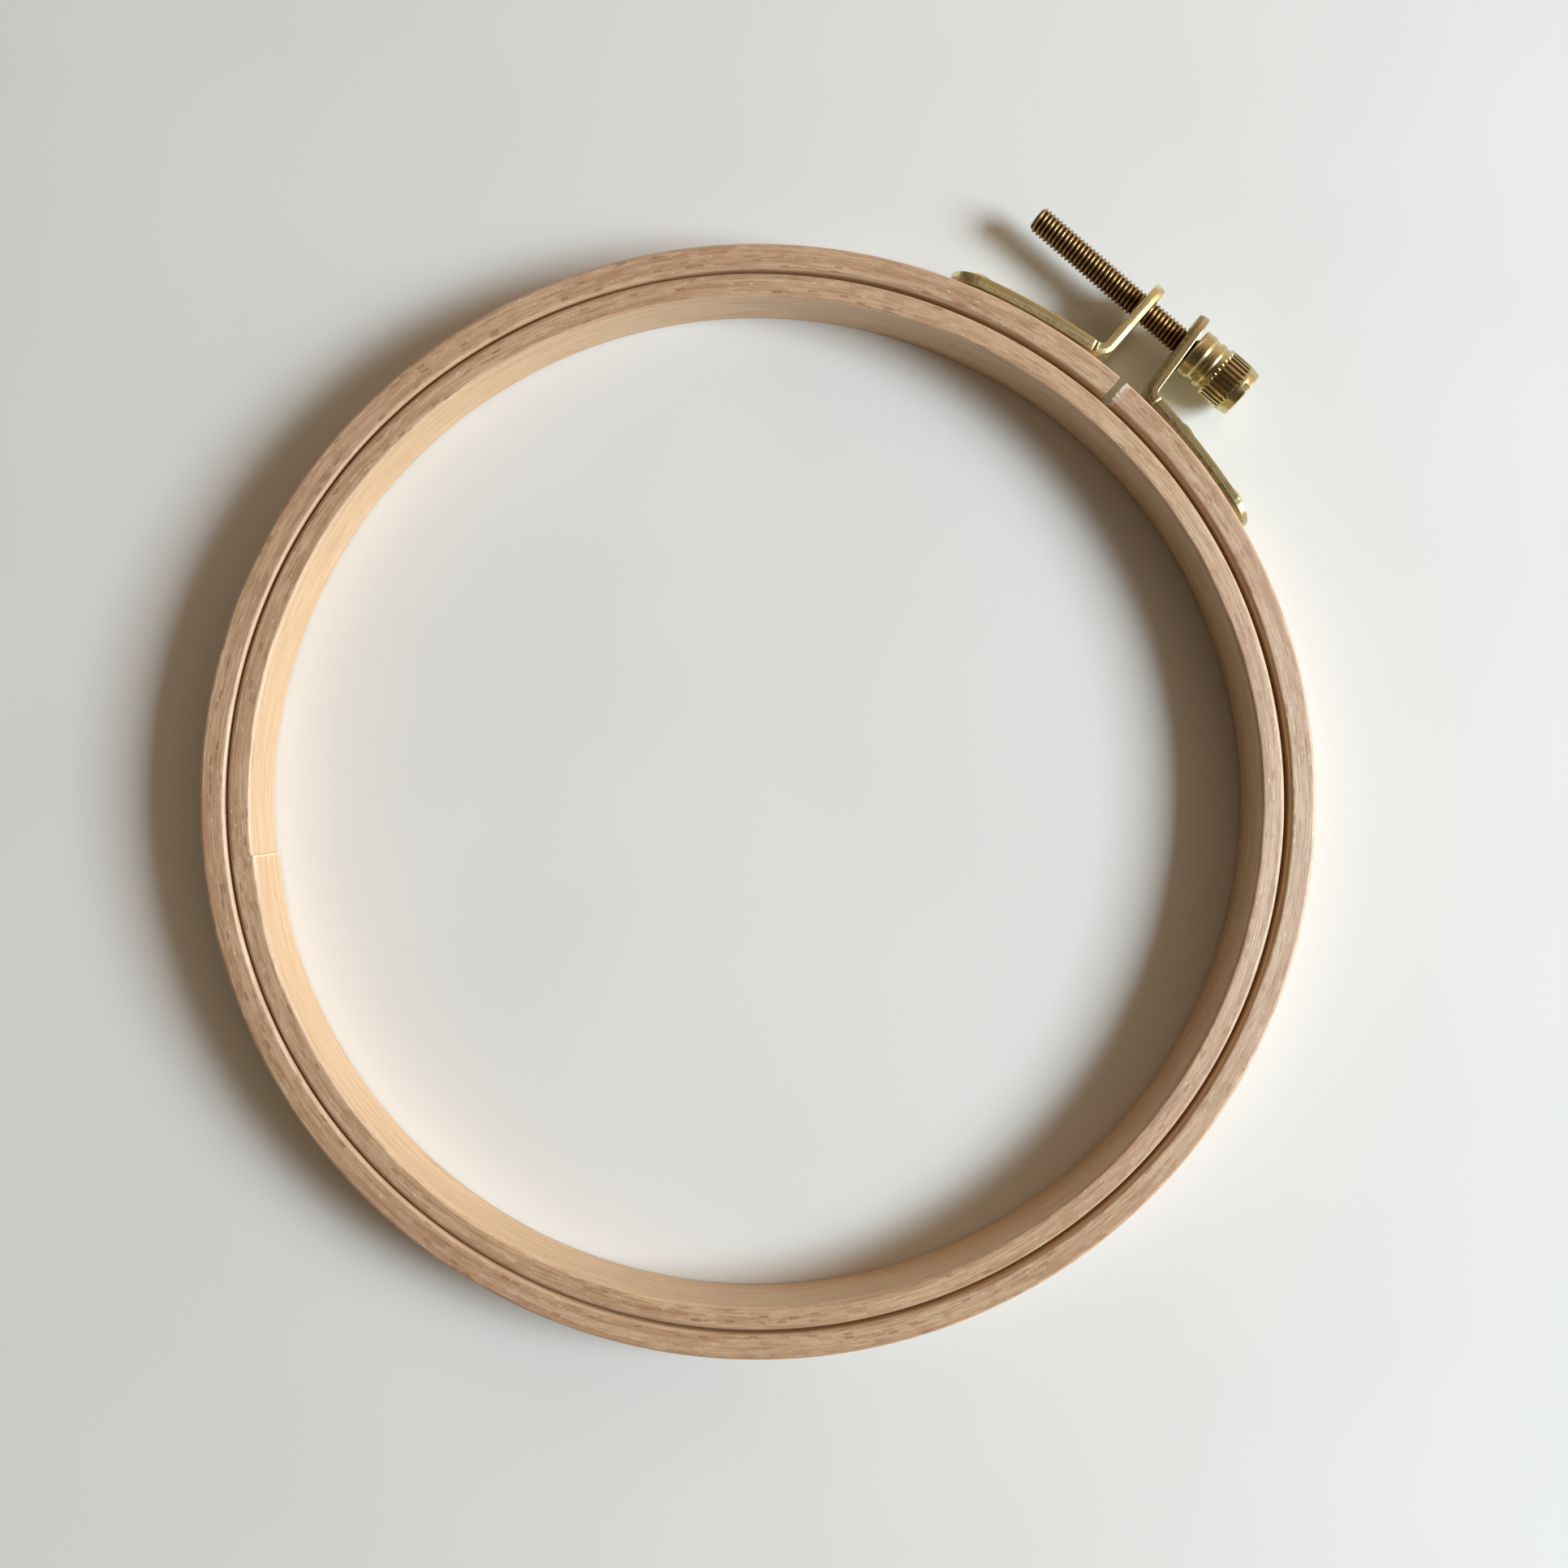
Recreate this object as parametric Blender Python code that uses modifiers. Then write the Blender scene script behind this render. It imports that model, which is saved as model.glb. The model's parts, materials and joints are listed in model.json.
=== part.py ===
"""Embroidery hoop: a split outer ring with two riveted ears and a clamp screw, round a plain inner ring.

The hoop lies flat, with +Z up and the split at +Y. The origin is below the middle of its bounding box.
Lengths are in metres.
"""

import math

import bmesh
import bpy
from mathutils import Matrix, Vector

MM = 0.001

# Outer ring: one split wooden ring, made as two halves that meet at a seam opposite the split.
OUTER_RADIUS = 80.0 * MM
OUTER_WALL = 3.8 * MM
RING_HEIGHT = 10.0 * MM
SPLIT_GAP = 1.2 * MM
SEAM_GAP = 0.3 * MM

# Inner ring, loose inside the outer one and lying a little off its centre.
INNER_RADIUS = 75.7 * MM
INNER_WALL = 3.4 * MM
INNER_SHIFT = (-0.19 * MM, -0.16 * MM)

# Both rings have the same rounded edges.
EDGE_ROUND = 0.5 * MM
EDGE_STEPS = 2
RING_STEPS = 120

# Ears: a strip with round ends, bent to an L, with its foot riveted to the outside of the ring.
STRIP_WIDTH = 8.0 * MM
STRIP_THICKNESS = 1.6 * MM
BEND_RADIUS = 0.8 * MM
FOOT_CURVE = 110.0 * MM  # flatter than the ring, so its ends stand off a little
RIVET_SPACING = 11.7 * MM
FOOT_END = 4.3 * MM  # from the far rivet to the end of the foot
LEFT_EAR = {
    "side": -1,
    "face": 5.45 * MM,
    "lean": 0.5,
    "tip": 95.3 * MM,
    "first_rivet": 8.0 * MM,
    "gap": 0.5 * MM,
}
RIGHT_EAR = {
    "side": 1,
    "face": 4.9 * MM,
    "lean": 4.5,
    "tip": 96.3 * MM,
    "first_rivet": 6.8 * MM,
    "gap": 0.25 * MM,
}
EAR_HOLE_RADIUS = 2.4 * MM

# Rivets, through the foot and the wood.
RIVET_SHANK = 1.2 * MM
RIVET_HEAD = 2.35 * MM
RIVET_RIM = 0.4 * MM
RIVET_DOME = 1.28 * MM
RIVET_CLEARANCE = 0.15 * MM
RIVET_HOLE_LENGTH = 12.0 * MM  # past both sides of the foot and the wood

# Clamp screw: an M4 thread along X, with its head on the +X side.
SCREW_REACH = 91.4 * MM  # from the ring's centre
THREAD_RADIUS = 1.95 * MM
THREAD_ROOT = 1.55 * MM
THREAD_PITCH = 0.7 * MM
THREAD_STEPS = 12
ROD_START = -25.1 * MM
ROD_CHAMFER = 0.5 * MM
ROD_TRIM_MARGIN = 0.3 * MM
HEAD_START = 4.7 * MM
ROD_IN_HEAD = 4.4 * MM

# Head: collar, neck, bead and grooved barrel, listed outwards from the ear.
HEAD_LENGTH = 9.9 * MM
COLLAR_LENGTH = 2.1 * MM
NECK_LENGTH = 1.0 * MM
BEAD_LENGTH = 0.9 * MM
BARREL_START = 4.4 * MM
BAND_LENGTH = 1.3 * MM
COLLAR_RADIUS = 3.65 * MM
NECK_RADIUS = 3.45 * MM
BARREL_RADIUS = 3.78 * MM
BARREL_TAPER = 0.3 * MM  # how much narrower its slotted end is
HEAD_CHAMFER = 0.3 * MM
HEAD_EDGE = 0.15 * MM
HEAD_STEPS = 60
GROOVES = 30
GROOVE_RADIUS = 0.3 * MM
GROOVE_DEPTH = 0.22 * MM
SLOT_WIDTH = 1.0 * MM
SLOT_DEPTH = 1.0 * MM
SLOT_TURN = 95.0  # degrees from level
HEAD_BORE_RADIUS = 2.15 * MM
HEAD_BORE_DEPTH = 4.8 * MM

RING_Y = (OUTER_RADIUS - RIGHT_EAR["tip"]) / 2
MID_HEIGHT = RING_HEIGHT / 2
OUTER_INSIDE = OUTER_RADIUS - OUTER_WALL
BEND_MID = BEND_RADIUS + STRIP_THICKNESS / 2
ANTIPODE = Vector((0, RING_Y - OUTER_RADIUS + OUTER_WALL / 2, MID_HEIGHT))
SCREW_AXIS = Vector((0, RING_Y + SCREW_REACH, MID_HEIGHT))
ALONG_X = Matrix.Rotation(math.pi / 2, 4, "Y")
FAR = 0.2  # larger than the whole hoop


def clear_scene():
    for obj in list(bpy.data.objects):
        bpy.data.objects.remove(obj, do_unlink=True)


def add_collection(name):
    collection = bpy.data.collections.new(name)
    bpy.context.scene.collection.children.link(collection)
    return collection


def material(name, colour, roughness, metallic):
    made = bpy.data.materials.new(name)
    made.use_nodes = True
    shader = made.node_tree.nodes["Principled BSDF"]
    shader.inputs["Base Color"].default_value = (*colour, 1)
    shader.inputs["Roughness"].default_value = roughness
    shader.inputs["Metallic"].default_value = metallic
    made.diffuse_color = (*colour, 1)
    return made


def add_object(name, mesh, collection, finish=None):
    obj = bpy.data.objects.new(name, mesh)
    collection.objects.link(obj)
    if finish:
        mesh.materials.append(finish)
    return obj


def add_cutter(name, mesh):
    obj = add_object(name, mesh, CUTTERS)
    obj.hide_render = True
    obj.display_type = "WIRE"
    return obj


def cut(obj, cutter, operation="DIFFERENCE"):
    modifier = obj.modifiers.new(cutter.name, "BOOLEAN")
    modifier.operation = operation
    modifier.solver = "EXACT"
    modifier.object = cutter


def freeze(obj):
    """Replaces the object's mesh by what its modifiers make of it."""
    bpy.context.view_layer.update()
    graph = bpy.context.evaluated_depsgraph_get()
    mesh = bpy.data.meshes.new_from_object(obj.evaluated_get(graph))
    obj.modifiers.clear()
    obj.data = mesh


def shade_round(obj, sharp_from=40):
    obj.data.shade_smooth()
    obj.data.set_sharp_from_angle(angle=math.radians(sharp_from))


def bmesh_to_mesh(name, bm):
    mesh = bpy.data.meshes.new(name)
    bm.to_mesh(mesh)
    bm.free()
    return mesh


def box_mesh(name, low, high):
    bm = bmesh.new()
    bmesh.ops.create_cube(bm, size=1)
    low, high = Vector(low), Vector(high)
    size = high - low
    bmesh.ops.transform(bm, matrix=Matrix.Diagonal((*size, 1)), verts=bm.verts)
    bmesh.ops.translate(bm, vec=(low + high) / 2, verts=bm.verts)
    return bmesh_to_mesh(name, bm)


def rod_mesh(name, radius, length, steps, place):
    """A cylinder about its own Z axis, centred, then moved by the matrix place."""
    bm = bmesh.new()
    bmesh.ops.create_cone(bm, cap_ends=True, segments=steps, radius1=radius, radius2=radius, depth=length)
    bmesh.ops.transform(bm, matrix=place, verts=bm.verts)
    return bmesh_to_mesh(name, bm)


def profile_mesh(name, profile, closed):
    """A line of (radius, height) points in the XZ plane."""
    mesh = bpy.data.meshes.new(name)
    count = len(profile)
    edges = [(i, (i + 1) % count) for i in range(count if closed else count - 1)]
    mesh.from_pydata([(r, 0, z) for r, z in profile], edges, [])
    return mesh


def turn(obj, steps, offset=0.0, turns=1):
    modifier = obj.modifiers.new("Turn", "SCREW")
    modifier.axis = "Z"
    modifier.steps = steps
    modifier.render_steps = steps
    modifier.screw_offset = offset
    modifier.iterations = turns
    modifier.use_merge_vertices = offset == 0
    modifier.merge_threshold = 0.000001


def ring_profile(inside, outside):
    """A rounded rectangle from inside to outside, listed down its outer side first."""
    corners = [
        (outside - EDGE_ROUND, RING_HEIGHT - EDGE_ROUND, 90),
        (outside - EDGE_ROUND, EDGE_ROUND, 0),
        (inside + EDGE_ROUND, EDGE_ROUND, -90),
        (inside + EDGE_ROUND, RING_HEIGHT - EDGE_ROUND, -180),
    ]
    points = []
    for r, z, start in corners:
        for step in range(EDGE_STEPS + 1):
            angle = math.radians(start - 90 * step / EDGE_STEPS)
            points.append((r + EDGE_ROUND * math.cos(angle), z + EDGE_ROUND * math.sin(angle)))
    return points


def add_ring(name, inside, outside, centre, finish):
    mesh = profile_mesh(name, ring_profile(inside, outside), closed=True)
    obj = add_object(name, mesh, HOOP, finish)
    obj.location = (*centre, 0)
    turn(obj, RING_STEPS)
    shade_round(obj)
    return obj


def radial(angle, radius):
    """Places local +Z along the ring's radius at this angle from the split, clockwise from above."""
    turned = Matrix.Rotation(-angle, 4, "Z") @ Matrix.Rotation(-math.pi / 2, 4, "X")
    centre = Matrix.Translation((0, RING_Y, MID_HEIGHT))
    return centre @ turned @ Matrix.Translation((0, 0, radius))


def foot_radius(ear):
    """The strip's middle, where its foot sits on the ring."""
    return OUTER_RADIUS + ear["gap"] + STRIP_THICKNESS / 2


def rivet_angles(ear):
    radius = foot_radius(ear)
    first = math.asin(ear["face"] / radius) + ear["first_rivet"] / radius
    return [ear["side"] * first, ear["side"] * (first + RIVET_SPACING / radius)]


def add_bracket(name, ear, finish):
    """The strip's middle surface is a row of rulings across its width, along foot, bend and ear."""
    side = ear["side"]
    lean = math.radians(ear["lean"])
    near, far = (abs(angle) for angle in rivet_angles(ear))
    seat = (near + far) / 2
    foot_x = (foot_radius(ear) - FOOT_CURVE) * math.sin(seat)
    foot_y = (foot_radius(ear) - FOOT_CURVE) * math.cos(seat)
    bend_x = ear["face"] + (BEND_MID - STRIP_THICKNESS / 2) * math.cos(lean)
    start = math.asin((bend_x - foot_x) / (FOOT_CURVE + BEND_MID))
    bend_y = foot_y + (FOOT_CURVE + BEND_MID) * math.cos(start)
    foot_angle = seat + (RIVET_SPACING / 2 + FOOT_END) / FOOT_CURVE
    foot = FOOT_CURVE * (foot_angle - start)
    bend = BEND_MID * (math.pi / 2 - start - lean)
    corner_x = bend_x - BEND_MID * math.cos(lean)
    corner_y = bend_y - BEND_MID * math.sin(lean)
    tip = ear["tip"] - STRIP_THICKNESS / 2 * math.sin(lean)
    length = foot + bend + (tip - corner_y) / math.cos(lean)
    half = STRIP_WIDTH / 2

    def middle(s):
        if s < foot:
            angle = foot_angle - s / FOOT_CURVE
            return foot_x + FOOT_CURVE * math.sin(angle), foot_y + FOOT_CURVE * math.cos(angle)
        if s < foot + bend:
            angle = start + (s - foot) / BEND_MID
            return bend_x - BEND_MID * math.sin(angle), bend_y - BEND_MID * math.cos(angle)
        along = s - foot - bend
        return corner_x - along * math.sin(lean), corner_y + along * math.cos(lean)

    def half_width(s):
        from_end = min(s, length - s, half)
        return math.sqrt(half**2 - (half - from_end) ** 2)

    end_steps, foot_steps, bend_steps = 8, 14, 8
    rounding = [half * (1 - math.cos(math.pi / 2 * i / end_steps)) for i in range(1, end_steps + 1)]
    stations = list(rounding)
    stations += [half + (foot - half) * i / foot_steps for i in range(1, foot_steps + 1)]
    stations += [foot + bend * i / bend_steps for i in range(1, bend_steps + 1)]
    stations += [length - s for s in reversed(rounding)]

    bm = bmesh.new()

    def vertex(s, height):
        x, y = middle(s)
        return bm.verts.new((side * x, RING_Y + y, MID_HEIGHT + height))

    rows = [(vertex(s, half_width(s)), vertex(s, -half_width(s))) for s in stations]
    for (high, low), (next_high, next_low) in zip(rows, rows[1:]):
        bm.faces.new((high, low, next_low, next_high))
    bm.faces.new((vertex(0, 0), rows[0][1], rows[0][0]))
    bm.faces.new((vertex(length, 0), rows[-1][0], rows[-1][1]))
    bmesh.ops.recalc_face_normals(bm, faces=bm.faces)
    obj = add_object(name, bmesh_to_mesh(name, bm), HOOP, finish)
    solid = obj.modifiers.new("Thickness", "SOLIDIFY")
    solid.thickness = STRIP_THICKNESS
    solid.offset = 0
    solid.use_even_offset = True
    shade_round(obj)
    return obj


def add_rivet(name, angle, gap, finish):
    seat = OUTER_RADIUS + gap + STRIP_THICKNESS + RIVET_CLEARANCE
    shank = seat - OUTER_INSIDE - RIVET_CLEARANCE
    rise = RIVET_DOME - RIVET_RIM
    steps = 5
    dome = [
        (RIVET_HEAD * math.sin(math.pi / 2 * i / steps), RIVET_RIM + rise * math.cos(math.pi / 2 * i / steps))
        for i in range(steps + 1)
    ]
    profile = [*dome, (RIVET_HEAD, 0), (RIVET_SHANK, 0), (RIVET_SHANK, -shank), (0, -shank)]
    obj = add_object(name, profile_mesh(name, profile, closed=False), HOOP, finish)
    obj.matrix_world = radial(angle, seat)
    turn(obj, 20)
    shade_round(obj)
    return obj


def add_rivet_hole(name, angle):
    mesh = rod_mesh(name, RIVET_SHANK + RIVET_CLEARANCE, RIVET_HOLE_LENGTH, 20, Matrix())
    obj = add_cutter(name, mesh)
    obj.matrix_world = radial(angle, OUTER_RADIUS)
    return obj


def close_thread(mesh):
    """Joins the turns of the thread and closes each end with a fan to a point on the axis."""
    bm = bmesh.new()
    bm.from_mesh(mesh)
    bmesh.ops.remove_doubles(bm, verts=bm.verts, dist=0.000001)
    middle = sum(v.co.z for v in bm.verts) / len(bm.verts)
    open_edges = [e for e in bm.edges if e.is_boundary]
    for end in (-1, 1):
        rim = [e for e in open_edges if (e.verts[0].co.z - middle) * end > 0]
        reach = max(v.co.z * end for e in rim for v in e.verts)
        peak = bm.verts.new((0, 0, end * (reach + THREAD_PITCH / 2)))
        for edge in rim:
            bm.faces.new((*edge.verts, peak))
    bmesh.ops.recalc_face_normals(bm, faces=bm.faces)
    bm.to_mesh(mesh)
    bm.free()


def add_screw_rod(finish):
    """A helical thread, trimmed to its length by a chamfered bar."""
    length = HEAD_START + ROD_IN_HEAD - ROD_START
    tooth = [
        (THREAD_ROOT, THREAD_PITCH),
        (THREAD_RADIUS, THREAD_PITCH * 11 / 16),
        (THREAD_RADIUS, THREAD_PITCH * 9 / 16),
        (THREAD_ROOT, THREAD_PITCH * 1 / 4),
        (THREAD_ROOT, 0),
    ]
    turns = math.ceil(length / THREAD_PITCH) + 4
    obj = add_object("screw_rod", profile_mesh("screw_rod", tooth, closed=False), HOOP, finish)
    turn(obj, THREAD_STEPS, THREAD_PITCH, turns)
    freeze(obj)
    obj.data.transform(Matrix.Translation((0, 0, -2 * THREAD_PITCH)))
    close_thread(obj.data)
    wide = THREAD_RADIUS + ROD_TRIM_MARGIN
    narrow = THREAD_RADIUS - ROD_CHAMFER
    slope = wide - narrow
    trim = [(0, length), (narrow, length), (wide, length - slope), (wide, slope), (narrow, 0), (0, 0)]
    trim_bar = add_cutter("screw_rod_trim", profile_mesh("screw_rod_trim", trim, closed=False))
    turn(trim_bar, 24)
    place = Matrix.Translation(SCREW_AXIS + Vector((ROD_START, 0, 0))) @ ALONG_X
    trim_bar.matrix_world = place
    obj.matrix_world = place
    cut(obj, trim_bar, "INTERSECT")
    shade_round(obj, 25)
    return obj


def head_profile():
    """The head's side, from its slotted end down to the end that faces the ear."""
    neck_start = COLLAR_LENGTH
    bead_start = neck_start + NECK_LENGTH
    bead_end = bead_start + BEAD_LENGTH
    end_radius = BARREL_RADIUS - BARREL_TAPER
    edge = HEAD_EDGE
    return [
        (0, HEAD_LENGTH + edge),
        (end_radius - HEAD_CHAMFER, HEAD_LENGTH),
        (end_radius, HEAD_LENGTH - HEAD_CHAMFER),
        (BARREL_RADIUS - edge, HEAD_LENGTH - BAND_LENGTH),
        (BARREL_RADIUS, (HEAD_LENGTH - BAND_LENGTH + BARREL_START) / 2),
        (BARREL_RADIUS - edge, BARREL_START),
        (COLLAR_RADIUS - edge, bead_end),
        (COLLAR_RADIUS, (bead_start + bead_end) / 2),
        (COLLAR_RADIUS - edge, bead_start),
        (NECK_RADIUS, bead_start - edge),
        (NECK_RADIUS, neck_start + edge),
        (COLLAR_RADIUS, neck_start - edge),
        (COLLAR_RADIUS, HEAD_CHAMFER),
        (COLLAR_RADIUS - HEAD_CHAMFER, 0),
        (0, 0),
    ]


def groove_mesh(name):
    """The cylinders that cut the barrel's grooves, all in one mesh."""
    length = HEAD_LENGTH - BAND_LENGTH - BARREL_START
    middle = BARREL_START + length / 2
    distance = BARREL_RADIUS + GROOVE_RADIUS - GROOVE_DEPTH
    bm = bmesh.new()
    for i in range(GROOVES):
        turned = Matrix.Rotation(2 * math.pi * (i + 0.5) / GROOVES, 4, "Z")
        made = bmesh.ops.create_cone(
            bm, cap_ends=True, segments=8, radius1=GROOVE_RADIUS, radius2=GROOVE_RADIUS, depth=length
        )
        place = turned @ Matrix.Translation((distance, 0, middle))
        bmesh.ops.transform(bm, matrix=place, verts=made["verts"])
    return bmesh_to_mesh(name, bm)


def add_screw_head(finish):
    obj = add_object("screw_head", profile_mesh("screw_head", head_profile(), closed=False), HOOP, finish)
    place = Matrix.Translation(SCREW_AXIS + Vector((HEAD_START, 0, 0))) @ ALONG_X
    turn(obj, HEAD_STEPS)
    bore_length = 2 * HEAD_BORE_DEPTH
    half_step = Matrix.Rotation(math.pi / HEAD_STEPS, 4, "Z")
    slot_low = (-SLOT_WIDTH / 2, -FAR, HEAD_LENGTH - SLOT_DEPTH)
    slot_high = (SLOT_WIDTH / 2, FAR, HEAD_LENGTH + FAR)
    bore = rod_mesh("head_bore", HEAD_BORE_RADIUS, bore_length, HEAD_STEPS // 2, half_step)
    cutters = [
        add_cutter("head_bore", bore),
        add_cutter("head_slot", box_mesh("head_slot", slot_low, slot_high)),
        add_cutter("head_grooves", groove_mesh("head_grooves")),
    ]
    obj.matrix_world = place
    turned_slot = Matrix.Rotation(math.radians(SLOT_TURN), 4, "Z")
    for cutter, turned in zip(cutters, (Matrix(), turned_slot, Matrix())):
        cutter.matrix_world = place @ turned
        cut(obj, cutter)
    shade_round(obj, 30)
    return obj


def add_ear_hole(name, ear):
    lean = math.radians(ear["lean"])
    middle = ear["face"] - (SCREW_REACH - OUTER_RADIUS) * math.tan(lean) - STRIP_THICKNESS / 2
    place = Matrix.Translation(SCREW_AXIS + Vector((ear["side"] * middle, 0, 0))) @ ALONG_X
    return add_cutter(name, rod_mesh(name, EAR_HOLE_RADIUS, 3 * STRIP_THICKNESS, 24, place))


def add_half(name, side, holes, finish):
    """Half of the split outer ring: what is left of the whole ring on one side of the split."""
    obj = add_ring(name, OUTER_INSIDE, OUTER_RADIUS, (0, RING_Y), finish)
    low_x, high_x = (-SEAM_GAP / 2, FAR) if side < 0 else (-FAR, SEAM_GAP / 2)
    other_side = box_mesh(name + "_other_side", (low_x, -FAR, -FAR), (high_x, FAR, FAR))
    cut(obj, add_cutter(name + "_other_side", other_side))
    for hole in holes:
        cut(obj, hole)
    return obj


def add_pivot(name, place, children, parent=None):
    """An empty on a joint's axis, with the pieces that the joint moves parented to it."""
    pivot = bpy.data.objects.new(name, None)
    pivot.empty_display_size = 5 * MM
    HOOP.objects.link(pivot)
    pivot.location = place
    bpy.context.view_layer.update()
    if parent:
        pivot.parent = parent
        pivot.matrix_parent_inverse = parent.matrix_world.inverted()
    bpy.context.view_layer.update()
    for child in children:
        child.parent = pivot
        child.matrix_parent_inverse = pivot.matrix_world.inverted()
    return pivot


def build_side(ring_name, bracket_name, ear, split, wood, brass):
    """One half of the outer ring with its bracket and rivets."""
    word = "left" if ear["side"] < 0 else "right"
    angles = rivet_angles(ear)
    holes = [add_rivet_hole(f"{word}_rivet_hole_{i + 1}", angle) for i, angle in enumerate(angles)]
    ring = add_half(ring_name, ear["side"], [split, *holes], wood)
    bracket = add_bracket(bracket_name, ear, brass)
    for hole in [*holes, add_ear_hole(f"{word}_ear_hole", ear)]:
        cut(bracket, hole)
    rivets = [add_rivet(f"{word}_rivet_{i + 1}", angle, ear["gap"], brass) for i, angle in enumerate(angles)]
    return [ring, bracket, *rivets]


clear_scene()
HOOP = add_collection("embroidery_hoop")
CUTTERS = add_collection("cutters")
outer_wood = material("outer_wood", (0.62, 0.44, 0.30), 0.55, 0.0)
inner_wood = material("inner_wood", (0.66, 0.47, 0.33), 0.55, 0.0)
bracket_brass = material("bracket_brass", (0.58, 0.45, 0.20), 0.35, 1.0)
screw_brass = material("screw_brass", (0.38, 0.24, 0.10), 0.35, 1.0)
head_brass = material("head_brass", (0.60, 0.47, 0.20), 0.22, 1.0)

split_mesh = box_mesh("split", (-SPLIT_GAP / 2, 0, -FAR), (SPLIT_GAP / 2, FAR, FAR))
split_cutter = add_cutter("split", split_mesh)
build_side("outer_hoop_left", "tapped_bracket", LEFT_EAR, split_cutter, outer_wood, bracket_brass)
right_side = build_side(
    "outer_hoop_right", "plain_bracket", RIGHT_EAR, split_cutter, outer_wood, bracket_brass
)
inner_centre = (INNER_SHIFT[0], RING_Y + INNER_SHIFT[1])
inner_hoop = add_ring("inner_hoop", INNER_RADIUS - INNER_WALL, INNER_RADIUS, inner_centre, inner_wood)
screw = [add_screw_rod(screw_brass), add_screw_head(head_brass)]
flex = add_pivot("hoop_flex_axis", ANTIPODE, right_side)
add_pivot("screw_spin_axis", SCREW_AXIS, screw, parent=flex)
add_pivot("inner_hoop_slide_axis", Vector((*inner_centre, 0)), [inner_hoop])
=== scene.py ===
"""The finished look of the embroidery hoop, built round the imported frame. Lengths are in metres."""

import json
import math

import bmesh
import bpy
from mathutils import Matrix, Vector, noise


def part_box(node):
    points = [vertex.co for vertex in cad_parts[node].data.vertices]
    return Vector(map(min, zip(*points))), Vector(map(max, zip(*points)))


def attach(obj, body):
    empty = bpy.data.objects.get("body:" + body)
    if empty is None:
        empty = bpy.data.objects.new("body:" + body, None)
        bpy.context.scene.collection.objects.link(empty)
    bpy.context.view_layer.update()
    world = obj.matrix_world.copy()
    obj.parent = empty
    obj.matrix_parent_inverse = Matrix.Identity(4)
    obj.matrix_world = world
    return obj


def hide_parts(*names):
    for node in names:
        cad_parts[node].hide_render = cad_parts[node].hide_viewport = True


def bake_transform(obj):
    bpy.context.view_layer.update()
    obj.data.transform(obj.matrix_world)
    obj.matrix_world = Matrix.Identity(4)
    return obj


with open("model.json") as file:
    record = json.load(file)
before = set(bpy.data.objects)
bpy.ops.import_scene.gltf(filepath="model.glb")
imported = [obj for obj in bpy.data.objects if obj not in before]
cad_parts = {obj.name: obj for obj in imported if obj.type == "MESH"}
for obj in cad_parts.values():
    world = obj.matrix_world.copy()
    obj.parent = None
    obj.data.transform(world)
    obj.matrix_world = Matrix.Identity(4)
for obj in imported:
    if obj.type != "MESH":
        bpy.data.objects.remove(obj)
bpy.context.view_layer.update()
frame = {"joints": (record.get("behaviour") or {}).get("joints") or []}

MM = 0.001
JOINTS = {joint["name"]: joint for joint in frame["joints"]}

# Rings
OUTER_RADIUS = 80.0 * MM
OUTER_WALL = 3.8 * MM
INNER_RADIUS = 75.7 * MM
INNER_WALL = 3.4 * MM
INNER_SHIFT = (-0.19 * MM, -0.16 * MM)
RING_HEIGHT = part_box("inner_hoop")[1].z
EDGE_ROUND = 0.45 * MM
SPLIT_GAP = 1.2 * MM
MID_HEIGHT = RING_HEIGHT / 2
RING_Y = JOINTS["hoop_flex"]["pos_m"][1] + OUTER_RADIUS - OUTER_WALL / 2
SCARF_ANGLE = 223.0  # degrees clockwise from the split, where the inner ring is lapped and glued
SCARF_STEP = 0.35 * MM
SCARF_FADE = 16.0 * MM
TORN_LENGTH = 3.2 * MM  # how far from a cut end the mesh is fine
RING_SHARP = 55.0  # degrees between faces, above which an edge is drawn sharp

# Ears
STRIP_WIDTH = 8.0 * MM
STRIP_THICKNESS = 1.6 * MM
BEND_RADIUS = 0.8 * MM
BEND_MID = BEND_RADIUS + STRIP_THICKNESS / 2
FOOT_CURVE = 110.0 * MM
RIVET_SPACING = 11.7 * MM
FOOT_END = 4.3 * MM
EAR_HOLE_RADIUS = 2.4 * MM
LEFT_EAR = {
    "side": -1,
    "face": 5.45 * MM,
    "lean": 0.5,
    "tip": 95.3 * MM,
    "first_rivet": 8.0 * MM,
    "gap": 0.5 * MM,
}
RIGHT_EAR = {
    "side": 1,
    "face": 4.9 * MM,
    "lean": 4.5,
    "tip": 96.3 * MM,
    "first_rivet": 6.8 * MM,
    "gap": 0.25 * MM,
}

# Rivets
RIVET_HEAD = 2.35 * MM
RIVET_RIM = 0.4 * MM
RIVET_DOME = 1.28 * MM
RIVET_CLEARANCE = 0.15 * MM

# Clamp screw
SCREW_AXIS = Vector(JOINTS["screw_spin"]["pos_m"])
THREAD_RADIUS = 1.95 * MM
THREAD_ROOT = 1.55 * MM
THREAD_PITCH = 0.7 * MM
ROD_CHAMFER = 0.5 * MM
HEAD_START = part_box("screw_head")[0].x
HEAD_LENGTH = 9.9 * MM
COLLAR_RADIUS = 3.65 * MM
NECK_RADIUS = 3.42 * MM
BARREL_RADIUS = 3.78 * MM
BARREL_TAPER = 0.3 * MM
BARREL_MIDDLE = 6.4 * MM
COLLAR_CHAMFER = 0.28 * MM
SHOULDER_START = 4.1 * MM
HEAD_ROUND = 0.22 * MM
GROOVES = 30
GROOVE_DEPTH = 0.24 * MM
GROOVE_HALF_WIDTH = 0.22 * MM
GROOVE_START = 4.5 * MM
GROOVE_END = 8.45 * MM
SLOT_WIDTH = 1.0 * MM
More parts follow.
